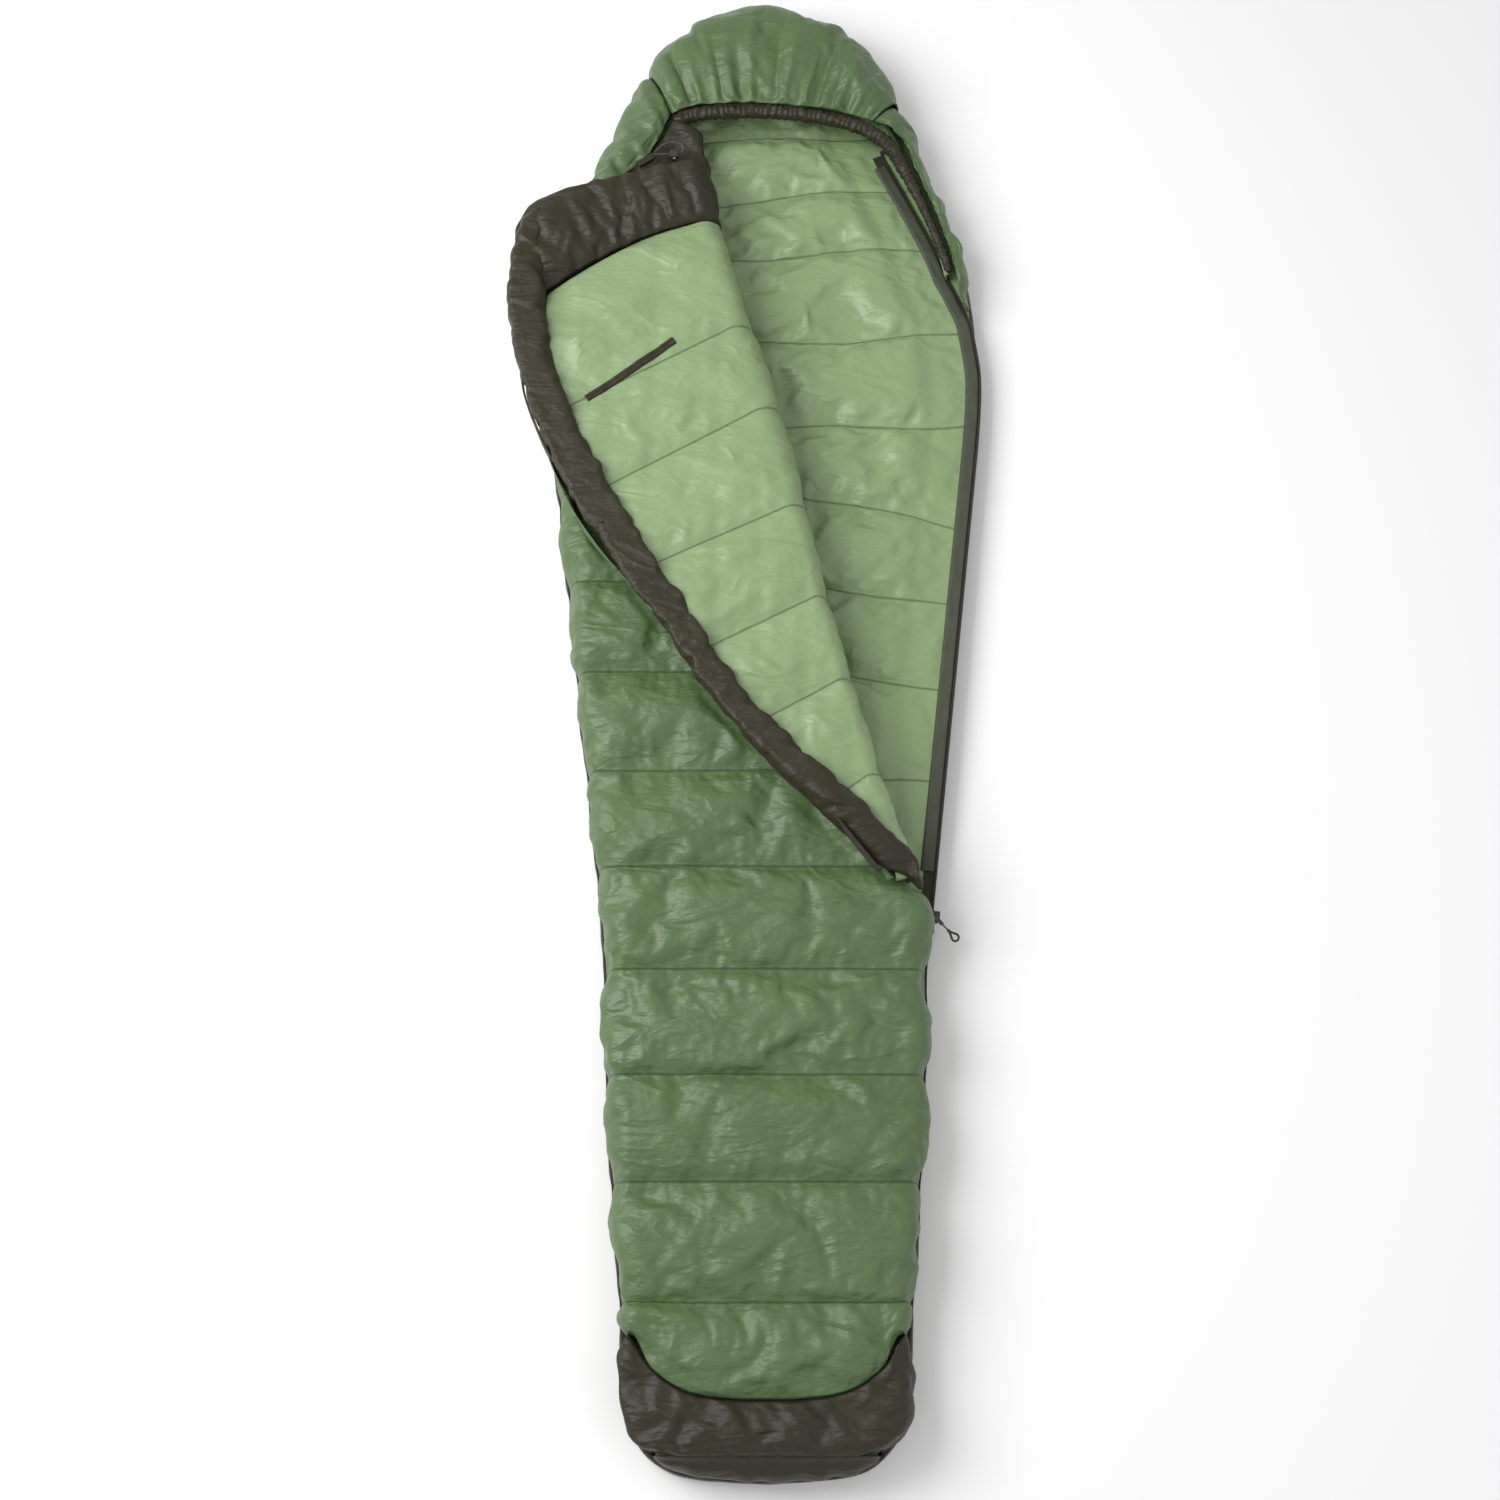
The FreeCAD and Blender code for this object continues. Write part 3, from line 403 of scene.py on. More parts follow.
def cloth_material(name, dye, rough, mottle=0.08, crumple=1.0, weave=1.0, pitch=5200.0, depth=0.0042,
                   sheen=0.04, sheen_rough=0.4, stitched=False, level=0.5, gap=0.08):
    """Woven cloth, with sewn seams where the piece carries its seam distances, and painted shade darkening
    the colour beside them.
    """
    if name in bpy.data.materials:
        return bpy.data.materials[name]
    material, tree, surface = new_material(name)
    link = tree.links.new
    place = tree.nodes.new("ShaderNodeTexCoord")
    cloth = group_node(tree, woven_group())
    link(place.outputs["Object"], cloth.inputs["Place"])
    cloth.inputs["Dye"].default_value = dye
    for key, value in (("Mottle", mottle), ("Crumple", crumple), ("Weave", weave), ("Pitch", pitch),
                       ("Base roughness", rough), ("Sheen gap", gap)):
        cloth.inputs[key].default_value = value
    colour_out, height_out = cloth.outputs["Colour"], cloth.outputs["Height"]
    if stitched:
        seam = group_node(tree, stitch_group())
        distance = add(tree, "ShaderNodeAttribute", attribute_name="seam_gap")
        along = add(tree, "ShaderNodeAttribute", attribute_name="seam_run")
        link(distance.outputs["Fac"], seam.inputs["Distance"])
        link(along.outputs["Fac"], seam.inputs["Run"])
        # Painted shade: the colour darkens by up to a half within about 2 mm of each seam line, standing in
        # for the shade in its groove.
        seam_painted_shade = tree.nodes.new("ShaderNodeVectorMath")
        seam_painted_shade.operation = "SCALE"
        link(colour_out, seam_painted_shade.inputs[0])
        link(maths(tree, "SUBTRACT", 1.0, maths(tree, "MULTIPLY", seam.outputs["Shade"], 0.5)),
             seam_painted_shade.inputs["Scale"])
        mix = add(tree, "ShaderNodeMix", data_type="RGBA")
        link(maths(tree, "MULTIPLY", seam.outputs["Thread"], 0.6), mix.inputs["Factor"])
        link(seam_painted_shade.outputs[0], mix.inputs["A"])
        mix.inputs["B"].default_value = [c * 0.5 for c in dye[:3]] + [1.0]
        colour_out = mix.outputs["Result"]
        height_out = maths(tree, "ADD", height_out, seam.outputs["Height"])
    bump = add(tree, "ShaderNodeBump", Strength=1.0, Distance=depth)
    link(height_out, bump.inputs["Height"])
    link(bump.outputs["Normal"], surface.inputs["Normal"])
    link(colour_out, surface.inputs["Base Color"])
    link(cloth.outputs["Roughness"], surface.inputs["Roughness"])
    surface.inputs["Sheen Weight"].default_value = sheen
    surface.inputs["Sheen Roughness"].default_value = sheen_rough
    surface.inputs["Specular IOR Level"].default_value = level
    return material


def tinted(value, factor):
    return [c * factor for c in value[:3]] + [1.0]


def shell_cloth():
    dye = bpy.context.scene.cloth_colours.shell
    return cloth_material("Outer taffeta", dye, 0.45, mottle=0.11, crumple=1.0, stitched=True,
                          sheen=0.02, level=0.55, gap=0.10)


def lining_cloth():
    dye = bpy.context.scene.cloth_colours.lining
    return cloth_material("Lining taffeta", dye, 0.42, mottle=0.08, crumple=0.8, stitched=True,
                          sheen=0.03, level=0.62, gap=0.08)


def brown_cloth():
    dye = bpy.context.scene.cloth_colours.brown
    return cloth_material("Brown taffeta", dye, 0.50, mottle=0.14, crumple=1.1, sheen=0.01, level=0.4,
                          gap=0.10)


def brown_stitched():
    dye = bpy.context.scene.cloth_colours.brown
    return cloth_material("Brown taffeta, sewn", dye, 0.50, mottle=0.14, crumple=1.1, stitched=True,
                          sheen=0.01, level=0.4, gap=0.10)


def tape_cloth():
    dye = bpy.context.scene.cloth_colours.tape
    return cloth_material("Zip tape", dye, 0.75, mottle=0.15, crumple=0.2, weave=6.0, pitch=4200.0,
                          depth=0.0006, sheen=0.05)


def facing_cloth():
    dye = bpy.context.scene.cloth_colours.facing
    return cloth_material("Facing webbing", dye, 0.62, mottle=0.14, crumple=0.5, weave=7.0, pitch=4200.0,
                          depth=0.0008, sheen=0.08)


def binding_cloth():
    dye = tinted(bpy.context.scene.cloth_colours.brown, 0.8)
    return cloth_material("Seam binding", dye, 0.7, mottle=0.15, crumple=0.4, weave=5.0, pitch=4200.0,
                          depth=0.0006, sheen=0.05)


def cord_braid():
    """Round braided cord: slanting strands two ways."""
    name = "Cord braid"
    if name in bpy.data.materials:
        return bpy.data.materials[name]
    material, tree, surface = new_material(name)
    link = tree.links.new
    place = tree.nodes.new("ShaderNodeTexCoord")
    dye = bpy.context.scene.cloth_colours.cord
    parts = tree.nodes.new("ShaderNodeSeparateXYZ")
    link(place.outputs["Object"], parts.inputs[0])
    slants = (maths(tree, "ADD", parts.outputs["X"], parts.outputs["Z"]),
              maths(tree, "SUBTRACT", parts.outputs["Y"], parts.outputs["X"]))
    one, two = (maths(tree, "SINE", maths(tree, "MULTIPLY", slant, 5200.0)) for slant in slants)
    strands = maths(tree, "MULTIPLY", one, two)
    scale = tree.nodes.new("ShaderNodeVectorMath")
    scale.operation = "SCALE"
    scale.inputs[0].default_value = dye[:3]
    link(maths(tree, "ADD", 1.0, maths(tree, "MULTIPLY", strands, 0.45)), scale.inputs["Scale"])
    link(scale.outputs[0], surface.inputs["Base Color"])
    bump = add(tree, "ShaderNodeBump", Strength=1.0, Distance=0.0005)
    link(strands, bump.inputs["Height"])
    link(bump.outputs["Normal"], surface.inputs["Normal"])
    link(maths(tree, "ADD", 0.72, maths(tree, "MULTIPLY", strands, 0.08)), surface.inputs["Roughness"])
    surface.inputs["Sheen Weight"].default_value = 0.2
    return material


def hard_material(name, dye, rough, metallic=0.0, coat=0.0, grain=900.0, depth=0.00012, wear=0.25):
    """Moulded plastic, enamel or steel with fine grain and rubbed patches."""
    if name in bpy.data.materials:
        return bpy.data.materials[name]
    material, tree, surface = new_material(name)
    link = tree.links.new
    place = tree.nodes.new("ShaderNodeTexCoord")
    patch = add(tree, "ShaderNodeTexNoise", Scale=170.0, Detail=4.0, Roughness=0.6)
    speck = add(tree, "ShaderNodeTexNoise", Scale=grain, Detail=2.0, Roughness=0.5)
    for texture in (patch, speck):
        link(place.outputs["Object"], texture.inputs["Vector"])
    mix = add(tree, "ShaderNodeMix", data_type="RGBA")
    mix.inputs["A"].default_value = dye
    mix.inputs["B"].default_value = [min(1.0, c * 1.9 + 0.02) for c in dye[:3]] + [1.0]
    rub = maths(tree, "MULTIPLY", maths(tree, "SUBTRACT", patch.outputs[0], 0.5), 5.0)
    rub = maths(tree, "MULTIPLY", maths(tree, "MINIMUM", maths(tree, "MAXIMUM", rub, 0.0), 1.0), wear)
    link(rub, mix.inputs["Factor"])
    link(mix.outputs["Result"], surface.inputs["Base Color"])
    uneven = maths(tree, "MULTIPLY", maths(tree, "SUBTRACT", patch.outputs[0], 0.5), 0.22)
    link(maths(tree, "ADD", rough, uneven), surface.inputs["Roughness"])
    bump = add(tree, "ShaderNodeBump", Strength=0.6, Distance=depth)
    link(speck.outputs[0], bump.inputs["Height"])
    link(bump.outputs["Normal"], surface.inputs["Normal"])
    surface.inputs["Metallic"].default_value = metallic
    surface.inputs["Coat Weight"].default_value = coat
    return material


# ---- cloth pieces -------------------------------------------------------------------------
def grid_piece(name, place, seam=None, run=None, close=False, flip=False):
    """A grid of cloth laid out by an array of points, rows by columns by three."""
    rows, cols = place.shape[:2]
    bm = bmesh.new()
    bmesh.ops.create_grid(bm, x_segments=cols - 1, y_segments=rows - 1, size=0.5)
    mesh = bpy.data.meshes.new(name)
    bm.to_mesh(mesh)
    bm.free()
    flat = np.zeros(len(mesh.vertices) * 3, np.float32)
    mesh.vertices.foreach_get("co", flat)
    flat = flat.reshape(-1, 3)
    col = np.rint((flat[:, 0] + 0.5) * (cols - 1)).astype(int)
    row = np.rint((flat[:, 1] + 0.5) * (rows - 1)).astype(int)
    mesh.vertices.foreach_set("co", place[row, col].astype(np.float32).ravel())
    for key, values in (("seam_gap", seam), ("seam_run", run)):
        layer = mesh.attributes.new(key, "FLOAT", "POINT")
        data = np.full((rows, cols), 1.0) if values is None else np.broadcast_to(values, (rows, cols))
        layer.data.foreach_set("value", data[row, col].astype(np.float32))
    bm = bmesh.new()
    bm.from_mesh(mesh)
    if close:
        bmesh.ops.remove_doubles(bm, verts=bm.verts, dist=0.00005)
    if flip:
        bmesh.ops.reverse_faces(bm, faces=bm.faces)
    for face in bm.faces:
        face.smooth = True
    bm.to_mesh(mesh)
    bm.free()
    mesh.update()
    piece = bpy.data.objects.new(name, mesh)
    bpy.context.scene.collection.objects.link(piece)
    piece["grid"] = [rows, cols]
    return piece


def read_points(piece):
    flat = np.zeros(len(piece.data.vertices) * 3, np.float32)
    piece.data.vertices.foreach_get("co", flat)
    return flat.reshape(-1, 3).astype(float)


def settle(piece, held, grow=0.06, pressure=0.6, frames=18, reach=0.014, bend=0.3, limit=None):
    """Lets the cloth crumple and fill: held points stay, the rest moves no further than reach."""
    scene = bpy.context.scene
    pins = piece.vertex_groups.new(name="sewn")
    pins.add([int(i) for i in np.nonzero(held)[0]], 1.0, "REPLACE")
    start = read_points(piece)
    modifier = piece.modifiers.new("Cloth", "CLOTH")
    cloth = modifier.settings
    cloth.quality = 4
    cloth.mass = 0.12
    cloth.tension_stiffness = 12.0
    cloth.compression_stiffness = 12.0
    cloth.shear_stiffness = 4.0
    cloth.bending_stiffness = bend
    cloth.tension_damping = 8.0
    cloth.compression_damping = 8.0
    cloth.shear_damping = 4.0
    cloth.air_damping = 3.0
    cloth.vertex_group_mass = "sewn"
    cloth.pin_stiffness = 1.0
    cloth.shrink_min = -grow
    cloth.use_pressure = True
    cloth.uniform_pressure_force = pressure
    cloth.effector_weights.gravity = 0.0
    modifier.collision_settings.use_collision = False
    modifier.collision_settings.use_self_collision = False
    modifier.point_cache.frame_start = 1
    modifier.point_cache.frame_end = frames
    for number in range(1, frames + 1):
        scene.frame_set(number)
    graph = bpy.context.evaluated_depsgraph_get()
    shape = piece.evaluated_get(graph).to_mesh()
    flat = np.zeros(len(shape.vertices) * 3, np.float32)
    shape.vertices.foreach_get("co", flat)
    piece.evaluated_get(graph).to_mesh_clear()
    moved = flat.reshape(-1, 3).astype(float) - start
    far = np.linalg.norm(moved, axis=1)[:, None]
    moved = moved * np.minimum(1.0, reach / np.maximum(far, 1e-9))
    settled = start + moved
    if limit is not None:
        settled = limit(settled)
    piece.modifiers.remove(modifier)
    piece.vertex_groups.remove(pins)
    piece.data.vertices.foreach_set("co", settled.astype(np.float32).ravel())
    piece.data.update()
    scene.frame_set(1)


def finish_cloth(piece, material, body=None, replaced=(), thick=None, levels=1, out=False):
    """Gives a cloth piece its smoothness, thickness, material, body and replaced solids."""
    sizes = bpy.context.scene.quilt_sizes
    if levels:
        finer = piece.modifiers.new("Finer", "SUBSURF")
        finer.levels = levels
        finer.render_levels = levels
    wall = piece.modifiers.new("Cloth thickness", "SOLIDIFY")
    wall.thickness = sizes.cloth if thick is None else thick
    wall.offset = 1.0 if out else -1.0
    piece.data.materials.append(material)
    if body:
        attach(piece, body)
    if replaced:
        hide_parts(*replaced)
    return piece


def stations(marks, cell, least=2):
    """Rows that fall exactly on every mark, with even cells between; also which rows are marks."""
    rows, sewn = [], []
    for low, high in zip(marks, marks[1:]):
        count = max(least, int(round(abs(high - low) / cell)))
        for i in range(count):
            rows.append(low + (high - low) * i / count)
            sewn.append(i == 0)
    rows.append(marks[-1])
    sewn.append(True)
    return np.array(rows), np.array(sewn)


def seam_distance(rows, marks):
    """Distance of each row to the nearest mark."""
    return np.min(np.abs(rows[:, None] - np.array(marks)[None, :]), axis=1)


def puff(rows, marks, power=0.62):
    """0 on the seams, 1 half way between them."""
    marks = np.array(sorted(marks))
    i = np.clip(np.searchsorted(marks, rows, side="right") - 1, 0, len(marks) - 2)
    r = np.clip((rows - marks[i]) / (marks[i + 1] - marks[i]), 0, 1)
    return np.sin(math.pi * r) ** power


def puckers(across, gap, seed, wave=0.016, reach=0.030):
    """Small gathers that run out of a seam and die away from it."""
    level = across * 0
    draw = ripple(across, level, seed, wave, 6) + 0.6 * ripple(across, level, seed + 1, wave * 2.2, 5)
    return draw * np.exp(-np.abs(gap) / reach) * (1 - np.exp(-np.abs(gap) / 0.004))


def creases(x, y, seed, count, low, high, tilt, spread, length, width=0.008):
    """Drag folds: bent ridges of random place, heading and length, each about 1 high.

    They lie between the corners low and high, and head about tilt to either side of x.
    """
    flank_power = 1.7
    rng = np.random.default_rng(seed)
    total = np.zeros(np.broadcast(x, y).shape)
    for _ in range(count):
        cx, cy = rng.uniform(low[0], high[0]), rng.uniform(low[1], high[1])
        heading = tilt * rng.choice([-1, 1]) + rng.normal(0, spread)
        long, wide = length * rng.uniform(0.5, 1.5), width * rng.uniform(0.7, 1.6)
        bow, strong = rng.normal(0, 1.2), rng.uniform(0.35, 1.0) * rng.choice([1, 1, -0.6])
        along = (x - cx) * math.cos(heading) + (y - cy) * math.sin(heading)
        off = (y - cy) * math.cos(heading) - (x - cx) * math.sin(heading) - bow * along**2
        fade = np.clip(1 - (along / long)**2, 0, 1) ** 1.5
        total += strong * fade / (1 + np.abs(off / wide) ** flank_power)
    return total


def side_columns(corner_x, corner_round, top_z, low_z, sign, bends=4, walls=4):
    """Points down a quilt's side for each row: x and z arrays, rows by columns."""
    xs, zs = [], []
    for angle in np.linspace(0, math.pi / 2, bends + 1)[1:]:
        xs.append(corner_x - sign * corner_round * (1 - math.sin(angle)))
        zs.append(top_z - corner_round * (1 - math.cos(angle)))
    for share in np.linspace(0, 1, walls + 1)[1:]:
        xs.append(corner_x)
        zs.append((top_z - corner_round) * (1 - share) + low_z * share)
    return np.stack(xs, 1), np.stack(zs, 1)


def lid_rows(rows, left_x, right_x, right_round, right_low, flat_count):
    """A quilt laid across the bag row by row: left side, top, right side."""
    left_round = np.full(len(rows), EDGE_ROUND)
    top = np.full(len(rows), LID_TOP)
    lx, lz = side_columns(left_x, left_round, top, LID_LOW, -1.0)
    rx, rz = side_columns(right_x, right_round, top, right_low, 1.0)
    share = np.linspace(0, 1, flat_count)
    fx = (left_x + left_round)[:, None] * (1 - share) + (right_x - right_round)[:, None] * share
    fz = np.repeat(top[:, None], flat_count, 1)
    x = np.hstack([lx[:, ::-1], fx, rx])
    z = np.hstack([lz[:, ::-1], fz, rz])
    return x, z


def held_points(place, rows, left, right):
    """Which of a grid's points are sewn down: these rows, and so many columns on each side."""
    held = np.zeros(place.shape[:2], bool)
    held[rows] = True
    held[:, :left] = True
    held[:, place.shape[1] - right:] = True
    return held


def run_along(place):
    """Distance along each row of points, for stitches."""
    steps = np.linalg.norm(np.diff(place, axis=1), axis=2)
    return np.hstack([np.zeros((place.shape[0], 1)), np.cumsum(steps, axis=1)])


def outward_offset(place, amount, flip=False):
    """Moves grid points along their own normals."""
    du = np.gradient(place, axis=1)
    dv = np.gradient(place, axis=0)
    normal = np.cross(du, dv)
    normal /= np.maximum(np.linalg.norm(normal, axis=2), 1e-9)[..., None]
    if flip:
        normal = -normal
    return place + normal * amount[..., None]


FOOT_SEAM = table([(-0.30, -0.862), (-0.182, -0.860), (-0.165, -0.872), (-0.140, -0.903),
                   (-0.112, -0.924), (-0.050, -0.9395), (0.0, -0.941), (0.050, -0.9395),
                   (0.112, -0.924), (0.140, -0.903), (0.165, -0.872), (0.182, -0.860),
                   (0.30, -0.862)])


class BagOperator:
    """Shared by every operator of the sleeping bag."""
    bl_options = {"REGISTER", "UNDO"}


class SLEEPINGBAG_OT_top_quilt(BagOperator, bpy.types.Operator):
    """The closed half of the upper quilt and its roof lining"""
    bl_idname = "sleepingbag.top_quilt"
    bl_label = "Top quilt"

    def execute(self, context):
        sizes = context.scene.quilt_sizes
        neck_line = table([(-0.31, 0.5650), (-0.0725, NECK_Y), (0.1, 0.6767)])
        marks = sorted([NECK_Y, *TOP_SEAMS, FOOT_Y])
        rows, sewn = stations(marks, sizes.cell)
        half = half_width(np.clip(rows, -1.0, 1.0))
        fold_t = (rows - FOLD_FOOT[1]) / ALONG[1]
        fold_x, fold_y = fold_xy(-0.003, fold_t)
        fold_x = np.interp(rows, fold_y, fold_x)
        opening = smooth(rows, *OPENING_Y)
        right_x = half * (1 - opening) + fold_x * opening
        right_round = EDGE_ROUND * (1 - opening) + 0.006 * opening
        right_low = LID_LOW * (1 - opening) + 0.062 * opening
        x, z = lid_rows(rows, -half, right_x, right_round, right_low, flat_count=58)
        y = np.repeat(rows[:, None], x.shape[1], 1)
        to_neck = smooth(rows, 0.375, NECK_Y)[:, None]
        y = y + (neck_line(x) - NECK_Y) * to_neck
        to_foot = np.clip((LAST_SEAM_Y - rows) / (LAST_SEAM_Y - FOOT_Y), 0, 1)[:, None]
        y = np.where(to_foot > 0, LAST_SEAM_Y + (FOOT_SEAM(x) - LAST_SEAM_Y) * to_foot, y)
        place = np.stack([x, y, z], 2)
        gap = seam_distance(rows, marks)
        full = puff(rows, marks)[:, None]
        across = run_along(place)
        flank = smooth(z, LID_LOW, 0.075)
        depth = sizes.seam_depth * (full - 1.0) * (0.25 + 0.75 * flank)
        from_side = np.minimum(across, across[:, -1:] - across)
        middle = np.clip(from_side / 0.05, 0, 1)
        depth = depth + 0.0022 * puckers(across + 0.4 * np.sin(rows[:, None] * 9), gap[:, None], 3) * middle
        depth = depth + 0.0022 * ripple(x, y, 11, 0.11) * full + 0.0010 * ripple(x, y, 12, 0.045) * full
        soft = np.clip(gap[:, None] / 0.012, 0.15, 1)
        soft = soft * (0.25 + 0.75 * np.clip(from_side / 0.10, 0, 1) ** 1.5)
        low, high = (-0.30, -0.93), (0.25, 0.62)
        long_folds = creases(x, y, 13, 150, low, high, tilt=0.30, spread=0.30, length=0.095)
        short_folds = creases(x, y, 14, 170, low, high, tilt=0.65, spread=0.35, length=0.045, width=0.0055)
        depth = depth + 0.0075 * long_folds * soft + 0.0042 * short_folds * soft
        depth = depth + np.where(z < 0.075, 0.002 * full * np.clip((z - LID_LOW) / 0.02, 0, 1), 0.0)
        depth = np.where(z < LID_LOW + 0.004, -0.001, depth)
        place = outward_offset(place, depth)
        covered = self.covered(place[..., 0], place[..., 1])
        place[..., 2] = np.where(covered, np.minimum(place[..., 2], UNDER_FLAP_Z), place[..., 2])
        piece = grid_piece("top_quilt", place, gap[:, None], across)
        held = held_points(place, sewn, 2, 2)

        def limit(settled):
            below = self.covered(settled[:, 0], settled[:, 1])
            settled[:, 2] = np.where(below, np.minimum(settled[:, 2], LID_TOP), settled[:, 2])
            settled[:, 2] = np.minimum(settled[:, 2], QUILT_LIMIT_Z)
            return settled

        settle(piece, held.ravel(), grow=0.075, pressure=0.25, frames=18, reach=0.006, limit=limit)
        finish_cloth(piece, shell_cloth(), "bag",
                     ("top_shell", "top_insulation"))
        self.roof(context, marks)
        return {"FINISHED"}

    def covered(self, x, y):
        """Where the laid-back flap lies over the quilt."""
        s, t = fold_st(x, y)
        return (s < 0.0) & (s > band_outer(np.clip(t, 0, 1.08)) - 0.004) & (t > 0.0)

    def roof(self, context, marks):
        """The lining under the closed half and under the foot."""
        sizes = context.scene.quilt_sizes
        rows = stations([-0.995, FOOT_Y] + marks[1:], sizes.cell * 1.7)[0]
        half = half_width(rows) - 0.030
        fold_t = (rows - FOLD_FOOT[1]) / ALONG[1]
        fold_x, fold_y = fold_xy(-FOLD_BACK, fold_t)
        fold_x = np.interp(rows, fold_y, fold_x)
        opening = smooth(rows, *OPENING_Y)
        right_x = half * (1 - opening) + fold_x * opening
        count = 34
        share = np.linspace(0, 1, count)
        x = -half[:, None] * (1 - share) + right_x[:, None] * share
        y = np.repeat(rows[:, None], count, 1)
        full = puff(rows, [-0.995] + marks)[:, None]
        side = np.minimum(share, (1 - share) + opening[:, None] * 10) * (right_x + half)[:, None]
        z = ROOF_LOW + 0.003 - 0.005 * full - 0.024 * (1 - smooth(side, 0.0, 0.012))
        z = z + 0.001 * ripple(x, y, 21, 0.05)
        place = np.stack([x, y, z], 2)
        gap = seam_distance(rows, marks)
        piece = grid_piece("roof_lining", place, gap[:, None], run_along(place), flip=True)
        finish_cloth(piece, lining_cloth(), "bag",
                     ("top_lining", "footbox_lining"), levels=0)


# ---- pieces of the foot, base, hood and neck -----------------------------------------------
END_Y = -1.004


class SLEEPINGBAG_OT_foot(BagOperator, bpy.types.Operator):
    """The brown footbox and its end panel"""
    bl_idname = "sleepingbag.foot"
    bl_label = "Foot"

    def execute(self, context):
        rows = np.linspace(0, 1, 15)
        half = half_width(-0.862 * (1 - rows) + END_Y * rows)
        count = len(rows)
        x, z = lid_rows(rows, -half, half, np.full(count, EDGE_ROUND), np.full(count, LID_LOW), flat_count=40)
        y = FOOT_SEAM(x) * (1 - rows[:, None]) + END_Y * rows[:, None]
        place = np.stack([x, y, z], 2)
        full = np.sin(math.pi * rows)[:, None] ** 0.6
        across = run_along(place)
        pull = -0.008 * (1 - full) + 0.0025 * ripple(x, y, 31, 0.05) * full
        from_seam = np.minimum(rows, 1 - rows)[:, None] * 0.08
        pull += 0.003 * puckers(across, from_seam, 32, wave=0.022, reach=0.04)
        pull = np.where(z < LID_LOW + 0.004, -0.001, pull)
        folds = creases(x, y, 34, 34, (-0.18, -1.0), (0.18, -0.87), tilt=0.6, spread=0.5, length=0.05,
                        width=0.006)
        pull = pull + 0.0060 * folds * full
        place = outward_offset(place, pull, flip=True)[::-1]
        contour = place[0].copy()
        gap = (rows * 0.07)[::-1, None]
        gap = np.minimum(gap, np.abs(0.07 - gap))
        piece = grid_piece("foot_box", place, gap, across[::-1])
        held = held_points(place, [0, -1], 1, 1)
        settle(piece, held.ravel(), grow=0.07, pressure=0.5, frames=16, reach=0.009)
        finish_cloth(piece, brown_stitched(), "bag",
                     ("footbox_shell", "footbox_insulation"))
        low = RING[RING[:, 1] < -0.9]
        low = low[np.argsort(low[:, 0])]
        edge_y = np.minimum(np.interp(contour[:, 0], low[:, 0], low[:, 1]), END_Y - 0.0005)
        share = np.linspace(0, 1, 12)[:, None]
        reach = np.sin(np.minimum(1, share / 0.6) * math.pi / 2)
        x = contour[None, :, 0] * (1 - 0.02 * share)
        y = END_Y + (edge_y[None, :] - END_Y) * reach
        z = contour[None, :, 2] * (1 - share) + LID_LOW * share
        z = z - 0.004 * np.sin(math.pi * np.minimum(1, 4 * share)) * (contour[None, :, 2] > 0.07)
        place = np.stack([x, y, z], 2)
        place[..., 1] += 0.0022 * ripple(x, z * 0.5, 33, 0.035) * np.sin(math.pi * share)
        piece = grid_piece("foot_end", place[::-1], share[::-1] * 0.05 + 0.0 * x, run_along(place)[::-1])
        held = held_points(place, [0, -1], 5, 5)
        settle(piece, held.ravel(), grow=0.06, pressure=0.4, frames=14, reach=0.005)
        finish_cloth(piece, brown_stitched(), "bag", ("foot_end_panel",))
        return {"FINISHED"}


